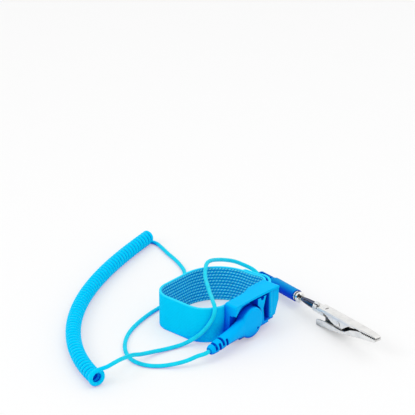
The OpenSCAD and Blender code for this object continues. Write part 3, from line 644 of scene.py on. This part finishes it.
def webbing_outside(webbing):
    """Plain knit: fine ribs along the strap, each a chain of stitches."""
    finish = Finish("webbing_outside")
    along, across, _ = finish.stored("cloth")
    row = across / (webbing.rib_pitch / MM)
    stitch = along / (webbing.stitch_pitch / MM) + (row.floor() % 2.0) * 0.5
    rib = row.wave()
    loop = stitch.wave()
    fuzz = finish.noise(2600.0, 3.0)
    patch = finish.noise(70.0, 2.0)
    height = rib * 0.6 + loop * rib * 0.5 + fuzz * 0.5
    tone = rib * 0.35 + loop * 0.2 + fuzz * 0.3 + patch * 0.3
    knit = finish.tones(tone, webbing.outside, 0.86, 1.06)
    # painted highlight: the knit turns paler along both edges, where the rims catch the light
    edged = finish.mix(near_edges(finish, webbing, across, 0.9), knit, webbing.rim_highlight)
    # painted shade: the knit turns deep blue where the buckle, the lead or the table close it in
    shade = finish.hollows(reach=14 * MM, low=0.2, high=0.55) * 0.9
    return finish.surface({
        "Base Color": finish.mix(shade, edged, painted_shade_colour(webbing.outside, blue=0.9)),
        "Roughness": 0.85,
        "Specular IOR Level": 0.03,
        "Normal": finish.bump(height, 0.12 * MM, strength=0.6),
    })


def webbing_inside(webbing):
    """Ribbed face: dark furrows between ribs, and pale conductive yarn on them."""
    finish = Finish("webbing_inside")
    along, across, _ = finish.stored("cloth")
    row = across / (webbing.row_pitch / MM)
    place_in_row = row % 1.0
    middle = abs(place_in_row - 0.5)
    dash = (along / (webbing.dash_pitch / MM) + (row.floor() % 2.0) * 0.5 - place_in_row * 0.7) % 1.0
    yarn = 1.0 - finish.step(((dash - 0.5) / 0.33) ** 2.0 + (middle / 0.3) ** 2.0, 0.6, 1.2)
    furrow = finish.step(middle, 0.32, 0.46)
    twist = (along / 0.42 + across / 0.9).wave()
    fuzz = finish.noise(2400.0, 3.0)
    body = finish.tones(fuzz * 0.5 + twist * 0.4, webbing.inside, 0.8, 1.1)
    ground = finish.mix(furrow, body, webbing.furrow)
    strewn = finish.mix(yarn * (0.75 + 0.25 * twist), ground, webbing.yarn)
    height = yarn * 0.9 + (1.0 - furrow) * 0.7 + twist * 0.2 + fuzz * 0.25
    return finish.surface({
        # painted highlight: the inner face turns paler along both edges, where the rims catch the light
        "Base Color": finish.mix(near_edges(finish, webbing, across, 0.8), strewn, webbing.rim_highlight),
        "Roughness": 0.8 - yarn * 0.3,
        "Specular IOR Level": 0.05,
        "Normal": finish.bump(height, 0.22 * MM, strength=0.8),
    })


def thread(webbing):
    """Twisted sewing thread."""
    finish = Finish("thread")
    run, turn, _ = finish.stored("run")
    lay = (run / 0.35 + turn).wave()
    return finish.surface({
        "Base Color": finish.mix(lay, shaded(webbing.furrow, 0.9), webbing.inside),
        "Roughness": 0.55,
        "Normal": finish.bump(lay, 0.04 * MM),
    })


def moulding(name, colour, edge, grain, roughness, reach=9 * MM, blue=0.65):
    """Moulded plastic: a fine grain, faint flow marks, edges that aren't quite sharp, and painted shade in
    deep blue where it is closed in.
    """
    finish = Finish(name)
    flow = finish.noise(90.0, 3.0)
    spark = finish.noise(5200.0, 2.0)
    rub = finish.step(finish.noise(420.0, 4.0), 0.56, 0.72)
    tone = finish.tones(flow, colour, 0.94, 1.05)
    worn = finish.edges(edge) * (0.35 + 0.65 * rub)
    open_face = finish.mix(worn * 0.5, tone, shaded(colour, 1.25))
    return finish.surface({
        # painted shade: the plastic turns deep blue where other pieces or the table close it in
        "Base Color": finish.mix(finish.hollows(reach, low=0.4, high=1.0), open_face, painted_shade_colour(colour, blue)),
        "Roughness": roughness + spark * 0.1 + rub * 0.08,
        "Specular IOR Level": 0.03,
        "Specular Tint": GLOSS_TINT,
        "Normal": finish.bump(spark + flow * 0.6, grain, finish.rounded(edge), strength=0.5),
    })


def plug_plastic(plastic):
    """Plastic of the banana plug, with painted shade where the table closes it in."""
    look = {"edge": 0.3 * MM, "grain": plastic.grain, "roughness": 0.3}
    return moulding("plug_plastic", plastic.plug, reach=22 * MM, blue=0.9, **look)


def jacket(lead):
    """Drawn jacket with faint draw marks and a few scuffs, painted a little greener where it isn't curled
    for the light there, and with painted shade where it is closed in.
    """
    finish = Finish("lead_jacket")
    run, turn, curly = finish.stored("run")
    draw = (turn * 9.0 + finish.noise(60.0) * 0.8).wave()
    swell = (run / 7.0 + finish.noise(120.0)).wave()
    scuff = finish.step(finish.noise(700.0, 3.0), 0.6, 0.75)
    # painted light: the straight runs get a greener tone for the light that they catch, though the jacket
    # is one colour
    shade = finish.mix(curly, lead.straight, lead.colour)
    pale = finish.mix(curly, shaded(lead.straight, 1.12), shaded(lead.colour, 1.04))
    tone = finish.mix(swell * 0.5 + draw * 0.3, shade, pale)
    # painted shade: the jacket turns deep blue in the gaps between curls and in the open end of the coil
    shaded_in = finish.hollows(reach=8 * MM, low=0.12, high=0.42)
    return finish.surface({
        "Base Color": finish.mix(shaded_in, tone, painted_shade_colour(lead.colour, blue=0.9, green=0.04)),
        "Roughness": 0.36 + scuff * 0.2 + draw * 0.05,
        "Specular IOR Level": 0.06,
        "Specular Tint": GLOSS_TINT,
        "Normal": finish.bump(draw * 0.5 + swell * 0.5 + scuff * 0.3, 0.02 * MM, strength=0.6),
    })


def plated(name, colour, low, high, edge, reach=3 * MM, metal=1.0):
    """Bright plate with fine scratches and duller patches, with painted shade: darker edges and near-black
    hollows.
    """
    finish = Finish(name)
    patch = finish.noise(260.0, 4.0)
    scratch = finish.noise(300.0, 3.0, finish.stretched((1.0, 14.0, 5.0)))
    dull = finish.step(patch, 0.4, 0.75)
    plate = finish.tones(dull, colour, 1.0, 0.9)
    # painted shade: the plate darkens along its edges and goes nearly black in its hollows
    edge_shaded_plate = finish.mix(finish.edges(edge) * 0.8, plate, shaded(colour, 0.2))
    return finish.surface({
        "Base Color": finish.mix(finish.hollows(reach, low=0.3, high=0.85), edge_shaded_plate, shaded(colour, 0.02)),
        "Metallic": metal,
        "Roughness": low + (high - low) * dull + scratch * 0.08,
        "Normal": finish.bump(scratch + patch * 0.5, 0.02 * MM, finish.rounded(edge), strength=0.5),
    })


def brushed(name, colour):
    """Plain steel with a long brushed lay."""
    finish = Finish(name)
    lay = finish.noise(400.0, 4.0, finish.stretched((0.6, 3.0, 12.0)))
    return finish.surface({
        "Base Color": finish.tones(lay, colour, 0.88, 1.0),
        "Metallic": 1.0,
        "Roughness": 0.26 + lay * 0.18,
        "Normal": finish.bump(lay, 0.015 * MM, finish.rounded(0.12 * MM), strength=0.6),
    })


def lacquer():
    """Lacquered resistor body with its ring code."""
    finish = Finish("resistor_lacquer")
    x, _, _ = finish.parts(finish.coordinates())
    along = (x - on_connector(-RESISTOR_BACK, 0, TAIL_LEVEL).x) / MM
    ring = 1.0 - finish.step(abs((along / 1.1) % 1.0 - 0.5), 0.14, 0.2)
    inside = 1.0 - finish.step(abs(along), 2.4, 2.5)
    mottle = finish.noise(900.0, 3.0)
    body = finish.mix(mottle, (0.52, 0.34, 0.16), (0.6, 0.42, 0.22))
    return finish.surface({
        "Base Color": finish.mix(ring * inside, body, (0.12, 0.05, 0.03)),
        "Roughness": 0.3 + mottle * 0.1,
        "Coat Weight": 0.4,
        "Normal": finish.bump(mottle, 0.03 * MM),
    })


# ---- sizes and colours ----
def number(name, description, default, **settings):
    """A number that the panel shows."""
    return FloatProperty(name=name, description=description, default=default, **settings)


def length(name, description, default):
    """A length that the panel shows, in metres."""
    return number(name, description, default, unit="LENGTH", precision=5)


def colour(name, description, default):
    """A linear colour that the panel shows."""
    settings = {"subtype": "COLOR", "min": 0.0, "max": 1.0}
    return FloatVectorProperty(name=name, description=description, default=default, **settings)


class LeadProperties(bpy.types.PropertyGroup):
    """The lead: two straight runs and the curly stretch between them."""

    diameter: length("Diameter", "Outer diameter of the jacket", 2.2 * MM)
    curl_width: length("Curl width", "Outer diameter of the curly stretch", 8.4 * MM)
    curl_pitch: length("Curl pitch", "Distance from one curl to the next", 2.77 * MM)
    curls: number("Curls", "Number of curls", 62.5)
    colour: colour("Jacket", "Colour of the jacket where it is curled", (0.0, 0.6, 0.93))
    # painted light: the straight runs' greener colour stands in for the light that they catch, not for a
    # second jacket colour
    straight: colour("Straight jacket", "Colour of the jacket where it runs straight", (0.01, 0.62, 0.8))


class WebbingProperties(bpy.types.PropertyGroup):
    """The webbing: its size, its two faces and their threads."""

    width: length("Width", "Width of the webbing", 20 * MM)
    thickness: length("Thickness", "Thickness of the webbing", 1.4 * MM)
    rib_pitch: length("Rib pitch", "Width of one rib of the outer knit", 0.85 * MM)
    stitch_pitch: length("Stitch pitch", "Length of one stitch of the outer knit", 0.7 * MM)
    row_pitch: length("Row pitch", "Distance between rows of conductive yarn", 1.8 * MM)
    dash_pitch: length("Dash pitch", "Distance between floats of conductive yarn", 1.8 * MM)
    outside: colour("Outside", "Colour of the outer knit", (0.0, 0.63, 1.0))
    inside: colour("Inside", "Colour of the inner face", (0.0, 0.55, 1.0))
    furrow: colour("Furrow", "Colour between the inner face's rows", (0.0, 0.17, 0.7))
    yarn: colour("Yarn", "Colour of the conductive yarn", (0.16, 0.8, 1.0))
    # painted highlight: this paler colour along both edges stands in for light caught on the rims
    rim_highlight: colour("Selvedge", "Colour of the webbing's two edges", (0.03, 0.72, 1.0))


class PlasticProperties(bpy.types.PropertyGroup):
    """The moulded pieces."""

    buckle: colour("Buckle", "Colour of the buckle and its lever", (0.0, 0.5, 0.95))
    connector: colour("Connector", "Colour of the snap connector", (0.0, 0.46, 0.96))
    plug: colour("Plug", "Colour of the banana plug's handle and strain relief", (0.0, 0.3, 0.68))
    edge: length("Edge", "Radius of the mouldings' edges", 0.35 * MM)
    grain: length("Grain", "Depth of the moulded grain", 0.02 * MM)


class MetalProperties(bpy.types.PropertyGroup):
    """The metal pieces."""

    nickel: colour("Nickel", "Colour of the bright plate", (0.92, 0.915, 0.9))
    # painted shade and reflection: a dark navy colour given to the nickel leaves for their dark,
    # blue-reflecting underside
    painted_leaf_shade: colour("Blued steel", "Colour of the plug's spring leaves", (0.1, 0.12, 0.2))
    steel: colour("Steel", "Colour of plain steel", (0.56, 0.56, 0.57))
    brass: colour("Brass", "Colour of the contact's brass", (0.72, 0.5, 0.2))


class StageProperties(bpy.types.PropertyGroup):
    """The camera, the lamps and the table."""

    azimuth: number("Azimuth", "Way the camera looks", math.radians(-49), subtype="ANGLE")
    elevation: number("Elevation", "Slope of the camera's view", math.radians(25), subtype="ANGLE")
    distance: length("Distance", "From the camera to the point that it looks at", 1.14808)
    aim: FloatVectorProperty(
        name="Aim",
        description="Point on the table that the camera looks at",
        default=(0.10818, 0.09899, 0.0),
        subtype="TRANSLATION",
        unit="LENGTH",
    )
    focal_length: number("Focal length", "In millimetres", 167.42)
    sky: number("Sky", "Strength of the light from all round", 0.85)
    key: number("Key", "Power of the lamp at the side", 5.5, unit="POWER")
    fill: number("Fill", "Power of the lamp above", 3.0, unit="POWER")
    table: colour("Table", "Colour of the table", (0.945, 0.945, 0.945))
    room: colour("Room", "Colour of the dim room behind the camera", (0.03, 0.03, 0.035))


# ---- pieces ----
class WRISTSTRAP_OT_stage(bpy.types.Operator):
    """Sets up the camera, the soft light and the pale table"""

    bl_idname = "wrist_strap.stage"
    bl_label = "Stage"

    # where each lamp stands and how wide it is, and half of the table's width, in metres
    lamps = {"key": ((-1.3, 0.5, 1.2), 0.8), "fill": ((0.25, -0.35, 1.2), 1.2)}
    half_table = 4.0

    def execute(self, context):
        stage = context.scene.wrist_strap_stage
        self.camera(context.scene, stage)
        self.sky(context.scene, stage)
        for name, (stands_at, size) in self.lamps.items():
            self.lamp(name + "_lamp", stands_at, size, getattr(stage, name))
        self.table(stage)
        context.scene.view_settings.view_transform = "Standard"
        return {"FINISHED"}

    def camera(self, scene, stage):
        lens = bpy.data.cameras.new("camera")
        lens.sensor_fit = "HORIZONTAL"
        lens.sensor_width = 36
        lens.lens = stage.focal_length
        lens.clip_end = 20
        camera = bpy.data.objects.new("camera", lens)
        scene.collection.objects.link(camera)
        flat = math.cos(stage.elevation)
        across, ahead = -math.sin(stage.azimuth) * flat, math.cos(stage.azimuth) * flat
        view = Vector((across, ahead, -math.sin(stage.elevation)))
        camera.location = Vector(stage.aim) - view * stage.distance
        camera.rotation_euler = (math.radians(90) - stage.elevation, 0, stage.azimuth)
        scene.camera = camera

    def sky(self, scene, stage):
        """Even light. Mirrors see the pale backdrop, and the dim room on the camera's side."""
        scene.world = bpy.data.worlds.new("studio")
        studio = Finish("studio", scene.world)
        path = studio.node("ShaderNodeLightPath")
        seen = Value(studio, path.outputs["Is Camera Ray"])
        glossy = Value(studio, path.outputs["Is Glossy Ray"])
        mirrored = glossy + Value(studio, path.outputs["Is Transmission Ray"])
        towards_camera = (math.sin(stage.azimuth), -math.cos(stage.azimuth), 0)
        inputs = {0: studio.take("ShaderNodeTexCoord", "Generated"), 1: towards_camera}
        side = studio.take("ShaderNodeVectorMath", "Value", {"operation": "DOT_PRODUCT"}, inputs)
        behind = studio.mix(studio.step(side, 0.05, 0.4), stage.table, stage.room)
        lit = studio.take("ShaderNodeBackground", 0, None, {"Strength": stage.sky, "Color": (1, 1, 1, 1)})
        shown = studio.take("ShaderNodeBackground", 0, None, {"Color": coloured(stage.table)})
        room = studio.take("ShaderNodeBackground", 0, None, {"Color": behind})
        unseen = studio.take("ShaderNodeMixShader", 0, None, {0: mirrored, 1: lit, 2: room})
        final = studio.take("ShaderNodeMixShader", 0, None, {0: seen, 1: unseen, 2: shown})
        studio.node("ShaderNodeOutputWorld", None, {"Surface": final})

    def lamp(self, name, stands_at, size, power):
        light = bpy.data.lights.new(name, "AREA")
        light.shape = "DISK"
        light.size = size
        light.energy = power
        lamp = bpy.data.objects.new(name, light)
        bpy.context.scene.collection.objects.link(lamp)
        lamp.location = stands_at
        lamp.rotation_euler = (-lamp.location).to_track_quat("-Z", "Y").to_euler()

    def table(self, stage):
        half = self.half_table
        corners = [(-half, -half, 0), (half, -half, 0), (half, half, 0), (-half, half, 0)]
        finish = Finish("table")
        tone = finish.tones(finish.noise(30.0), stage.table, 0.995, 1.0)
        inputs = {"Base Color": tone, "Roughness": 0.9, "Specular IOR Level": 0.1}
        lit = finish.take("ShaderNodeBsdfPrincipled", 0, None, inputs)
        shown = finish.take("ShaderNodeEmission", 0, None, {"Color": tone})
        share = finish.take("ShaderNodeLightPath", "Is Camera Ray") * PALE
        final = finish.take("ShaderNodeMixShader", 0, None, {0: share, 1: lit, 2: shown})
        finish.node("ShaderNodeOutputMaterial", None, {"Surface": final})
        table = new_piece("table", corners, [(0, 1, 2, 3)], finish.material)


class WRISTSTRAP_OT_lead(bpy.types.Operator):
    """Lays the lead, its curls and straight runs in one jacket, and moulds its relief at the plug"""

    bl_idname = "wrist_strap.lead"
    bl_label = "Lead"

    sides = 12
    # the curls' colour gives way to the straight runs' greener painted light over this much of the lead
    fade = 12
    # grooves of the strain relief, all round its core
    grooves = 5
    first_groove = -51.3
    groove_pitch = 2.15
    groove_width = 1.35
    core = 1.3

    def execute(self, context):
        lead = context.scene.wrist_strap_lead
        self.relief(plug_plastic(context.scene.wrist_strap_plastic))
        line, first_curl, last_curl = lead_line(lead)
        vertices, faces, runs = tube(line, lead.diameter / 2, self.sides)
        cord = new_piece("lead", vertices, faces, jacket(lead))

        def curly(run):
            return smooth((run - first_curl) / self.fade + 1) * smooth((last_curl - run) / self.fade + 1)

        give(cord, "run", [(run, turn, curly(run)) for run, turn, _ in runs])
        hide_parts("snap_lead", "coil_cord", "plug_lead")
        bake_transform(cord)
        length_of(line)
        return {"FINISHED"}

    def relief(self, material):
        relief = moulded("plug_relief", self.solids(), self.cuts(), 4, material)
        relief.data.transform(PLUG)
        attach(relief, "strap")
        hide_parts("plug_boot")

    def solids(self):
        sleeve = [(-53, 1.9), (-52.6, 2.3), (-51.6, 2.5), (-46, 2.6), (-40.6, 2.7), (-39.6, 2.7)]
        return [loft([(x, r, -r, r, 2) for x, r in sleeve], 40)]

    def cuts(self):
        far = 6
        cuts = []
        for i in range(self.grooves):
            low = self.first_groove + i * self.groove_pitch
            high = low + self.groove_width
            for side in ((-far, -self.core), (self.core, far)):
                cuts.append(block((low, side[0], -far), (high, side[1], far)))
                cuts.append(block((low, -far, side[0]), (high, far, side[1])))
        return cuts


class WRISTSTRAP_OT_webbing(bpy.types.Operator):
    """Weaves the band through the buckle, round the bar and back along itself"""

    bl_idname = "wrist_strap.webbing"
    bl_label = "Webbing"

    # faces further in than this share of half the thickness are the ribbed side's
    inner_share = 0.7
    # rows of stitches, given from the free end, and the stitches of one row, given from the edge
    stitch_rows = (4.0, 6.2)
    stitches = 8
    first_stitch = 1.4
    stitch_step = 2.3
    # how one stitch rises along the row and lifts off the webbing
    stitch_bow = [(0.0, -0.05), (0.3, 0.08), (1.0, 0.12), (1.7, 0.08), (2.0, -0.05)]
    thread_radius = 0.16

    def execute(self, context):
        webbing = context.scene.wrist_strap_webbing
        line, bar_at = band_line()
        self.band(webbing, line, bar_at)
        self.stitching(webbing, line)
        return {"FINISHED"}

    def band(self, webbing, line, bar_at):
        section = band_section(webbing)
        count = len(section)
        total = length_of(line)
        middle = webbing.width / MM / 2
        vertices, places = [], []
        for point, way, run in steps(line):
            out = Vector((-way.y, way.x))
            low = band_level(point.y)
            narrow = 1 - tongue(total - run) / middle
            for offset, height in section:
                x, y = point + out * offset
                height = middle + (height - middle) * narrow
                vertices.append(place(x, y, low + height))
                places.append((run, height, offset))
        first, last = ends(len(line), count)
        faces = [first[::-1], last[::-1], *walls(len(line), count)]
        cloths = webbing_outside(webbing), webbing_inside(webbing)
        band = new_piece("wrist_band_cloth", vertices, faces, *cloths)
        give(band, "cloth", places)
        inside = -self.inner_share * webbing.thickness / MM / 2
        for face in band.data.polygons[2:]:
            station, k = divmod(face.index - 2, count)
            inward = section[k][0] < inside and section[(k + 1) % count][0] < inside
            face.material_index = 1 if inward and station < bar_at else 0
        outward(band)
        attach(band, "strap")
        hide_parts("wrist_band")
        width, run_length = webbing.width, run * MM

    def stitching(self, webbing, line):
        """Two rows of stitches across the free end, where it is turned under."""
        shapes, runs = [], []
        for back in self.stitch_rows:
            point, way = along_from_end(line, back)
            out = Vector((way.y, -way.x))
            for i in range(self.stitches):
                low = self.first_stitch + i * self.stitch_step
                stitch = []
                for rise, lift in self.stitch_bow:
                    x, y = point + out * (webbing.thickness / MM / 2 + lift)
                    stitch.append(place(x, y, band_level(point.y) + low + rise))
                vertices, faces, some = tube(stitch, self.thread_radius * MM, 6)
                shapes.append((vertices, faces))
                runs.extend(some)
        stitches = new_piece("tail_stitches", *joined(shapes), thread(webbing))
        give(stitches, "run", runs)
        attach(stitches, "strap")


class WRISTSTRAP_OT_buckle(bpy.types.Operator):
    """Finishes the buckle, its lever, pins, bar, skin plate, rivets and stud"""

    bl_idname = "wrist_strap.buckle"
    bl_label = "Buckle"

    def execute(self, context):
        plastic = context.scene.wrist_strap_plastic
        metal = context.scene.wrist_strap_metal
        look = {"colour": plastic.buckle, "edge": plastic.edge, "grain": plastic.grain}
        dress(moulding("buckle_plastic", roughness=0.36, reach=14 * MM, blue=0.8, **look), "buckle_frame")
        dress(moulding("lever_plastic", roughness=0.32, **look), "cam_lever")
        dress(brushed("buckle_steel", metal.steel), "skin_plate", "strap_bar", "lever_pin", "plate_rivets")
        nickel = plated("stud_nickel", metal.nickel, low=0.14, high=0.26, edge=0.12 * MM)
        dress(nickel, "snap_stud", "stud_washer")
        return {"FINISHED"}


class WRISTSTRAP_OT_connector(bpy.types.Operator):
    """Moulds the connector's shell in one flowing shape and finishes what is inside it"""

    bl_idname = "wrist_strap.connector"
    bl_label = "Connector"

    # slots of the strain relief, from above and from below in turn, round a core
    slots = 4
    first_slot = (-21.8, -20.3)
    slot_pitch = 2.6
    upper_slot_ends = -0.6
    lower_slot_ends = 2.1
    core = 1.3
    # where the gate mark lies on the head
    gate = (3.5, -4.9, 0)

    def execute(self, context):
        plastic = context.scene.wrist_strap_plastic
        metal = context.scene.wrist_strap_metal
        material = moulding("connector_plastic", plastic.connector, 0.2 * MM, plastic.grain, roughness=0.3)
        shell = moulded("connector_shell", self.solids(), self.cuts(), 7, material)
        shell.data.transform(CONNECTOR)
        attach(shell, "snap")
        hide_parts("snap_housing", "snap_boot")
        dress(material, "snap_retainer")
        brass = plated("contact_brass", metal.brass, low=0.2, high=0.34, edge=0.1 * MM)
        dress(brass, "snap_socket", "snap_terminal")
        dress(brushed("ring_steel", metal.steel), "snap_ring")
        dress(lacquer(), "resistor")
        return {"FINISHED"}

    def solids(self):
        head = [
            (0, 1.8), (8.2, 1.8), (8.5, 2.1), (8.5, 5.3), (8.42, 5.8), (8.15, 6.25), (7.7, 6.55),
            (7.0, 6.7), (4, 6.76), (0, 6.78),
        ]
        tail = [
            (-1.5, 6.6, 2.0, 6.4, 3.2), (-5, 6.3, 1.9, 6.6, 3), (-8, 5.3, 1.7, 6.85, 2.8),
            (-10.5, 4.5, 1.5, 7.05, 2.6), (-13, 3.9, 1.3, 7.25, 2.4), (-16, 3.5, 1.2, 7.35, 2.3),
            (-20, 3.3, 1.2, 7.35, 2.2), (-24, 3.25, 1.25, 7.3, 2.1), (-28, 3.05, 1.45, 7.1, 2.1),
            (-30.4, 2.75, 1.7, 6.85, 2.1), (-31.5, 2.45, 2.0, 6.6, 2), (-32, 2.0, 2.4, 6.2, 2),
        ]
        return [turned(head, 96), loft(tail, 48)]

    def cuts(self):
        cavity = [(0, 0), (5.5, 0), (5.5, 5.3), (0, 5.3)]
        cuts = [turned(cavity, 64)]
        core, far = self.core, 12
        for i in range(self.slots):
            low, high = (end - i * self.slot_pitch for end in self.first_slot)
            from_below = i % 2 == 0
            bottom, top = (-far, self.lower_slot_ends) if from_below else (self.upper_slot_ends, far)
            for out_low, out_high in ((-far, TAIL_LEVEL - core), (TAIL_LEVEL + core, far)):
                cuts.append(block((low, bottom, out_low), (high, top, out_high)))
            side = (-far, -core) if from_below else (core, far)
            cuts.append(block((low, side[0], -far), (high, side[1], far)))
        mark, mark_faces = turned([(0, 6.0), (0.7, 6.0), (0.8, 8), (0, 8)], 16)
        cuts.append(([point + Vector(self.gate) * MM for point in mark], mark_faces))
        return cuts


class WRISTSTRAP_OT_plug(bpy.types.Operator):
    """Finishes the banana plug"""

    bl_idname = "wrist_strap.plug"
    bl_label = "Banana plug"

    def execute(self, context):
        metal = context.scene.wrist_strap_metal
        dress(plug_plastic(context.scene.wrist_strap_plastic), "plug_handle")
        nickel = plated("plug_nickel", metal.nickel, low=0.1, high=0.2, edge=0.1 * MM)
        dress(nickel, "plug_collar", "banana_pin")
        # painted shade and reflection: the nickel leaves get a dark navy colour for their dark underside
        dress(plated("leaf_nickel", metal.painted_leaf_shade, low=0.12, high=0.24, edge=0.1 * MM), "banana_spring")
        return {"FINISHED"}


class WRISTSTRAP_OT_clip(bpy.types.Operator):
    """Finishes the alligator clip and winds its spring"""

    bl_idname = "wrist_strap.clip"
    bl_label = "Alligator clip"

    # the spring's coil round the pivot, and where its two legs press
    pivot_at = (24, -0.8)
    coil_radius = 1.35
    wire = 0.55
    turns = 3.42
    pitch = 0.9
    start = -70
    rings_a_turn = 24
    lower_leg = (13, -6.1)
    upper_leg = (16.5, 1.3)

    def execute(self, context):
        metal = context.scene.wrist_strap_metal
        look = {"low": 0.36, "high": 0.5, "edge": 0.3 * MM, "reach": 6 * MM, "metal": 0.4}
        plate = plated("clip_nickel", shaded(metal.nickel, 0.88), **look)
        dress(plate, "clip_upper_jaw", "clip_lower_jaw", "clip_screw", "clip_pivot")
        self.spring(brushed("spring_steel", metal.steel))
        return {"FINISHED"}

    def spring(self, material):
        rings = self.rings_a_turn
        x, z = self.pivot_at
        coil = []
        for i in range(round(self.turns * rings) + 1):
            turn = math.radians(self.start) + math.tau * i / rings
            y = -self.turns * self.pitch / 2 + i * self.pitch / rings
            across, up = self.coil_radius * math.cos(turn), self.coil_radius * math.sin(turn)
            coil.append(Vector((x + across, y, z + up)))
        first, last = coil[0], coil[-1]
        (low_x, low_z), (high_x, high_z) = self.lower_leg, self.upper_leg
        lower = [Vector((low_x, first.y, low_z)), Vector((first.x - 1.2, first.y, first.z - 0.42))]
        upper = [Vector((last.x - 1.2, last.y, last.z + 0.12)), Vector((high_x, last.y, high_z))]
        line = [*spline(lower, 0.5)[:-1], *coil, *spline(upper, 0.5)]
        line = [on_plug(*point) for point in eased(line, 2)]
        vertices, faces, _ = tube(line, self.wire / 2 * MM, 10)
        spring = new_piece("clip_spring_wire", vertices, faces, material)
        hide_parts("clip_spring")
        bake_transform(spring)


OPERATORS = (
    WRISTSTRAP_OT_stage,
    WRISTSTRAP_OT_lead,
    WRISTSTRAP_OT_webbing,
    WRISTSTRAP_OT_buckle,
    WRISTSTRAP_OT_connector,
    WRISTSTRAP_OT_plug,
    WRISTSTRAP_OT_clip,
)


class WRISTSTRAP_PT_panel(bpy.types.Panel):
    """Sizes, colours and pieces of the wrist strap"""

    bl_label = "Wrist Strap"
    bl_idname = "WRISTSTRAP_PT_panel"
    bl_space_type = "VIEW_3D"
    bl_region_type = "UI"
    bl_category = "Wrist Strap"

    def draw(self, context):
        for name in GROUPS:
            group = getattr(context.scene, name)
            box = self.layout.box()
            for prop in group.__annotations__:
                box.prop(group, prop)
        for operator in OPERATORS:
            self.layout.operator(operator.bl_idname)


GROUPS = {
    "wrist_strap_lead": LeadProperties,
    "wrist_strap_webbing": WebbingProperties,
    "wrist_strap_plastic": PlasticProperties,
    "wrist_strap_metal": MetalProperties,
    "wrist_strap_stage": StageProperties,
}
CLASSES = (*GROUPS.values(), *OPERATORS, WRISTSTRAP_PT_panel)


def register():
    for cls in CLASSES:
        bpy.utils.register_class(cls)
    for name, group in GROUPS.items():
        setattr(bpy.types.Scene, name, PointerProperty(type=group))


def unregister():
    for name in GROUPS:
        delattr(bpy.types.Scene, name)
    for cls in reversed(CLASSES):
        bpy.utils.unregister_class(cls)


def main():
    register()
    for operator in OPERATORS:
        group, name = operator.bl_idname.split(".")
        getattr(getattr(bpy.ops, group), name)()


if __name__ == "__main__":
    main()
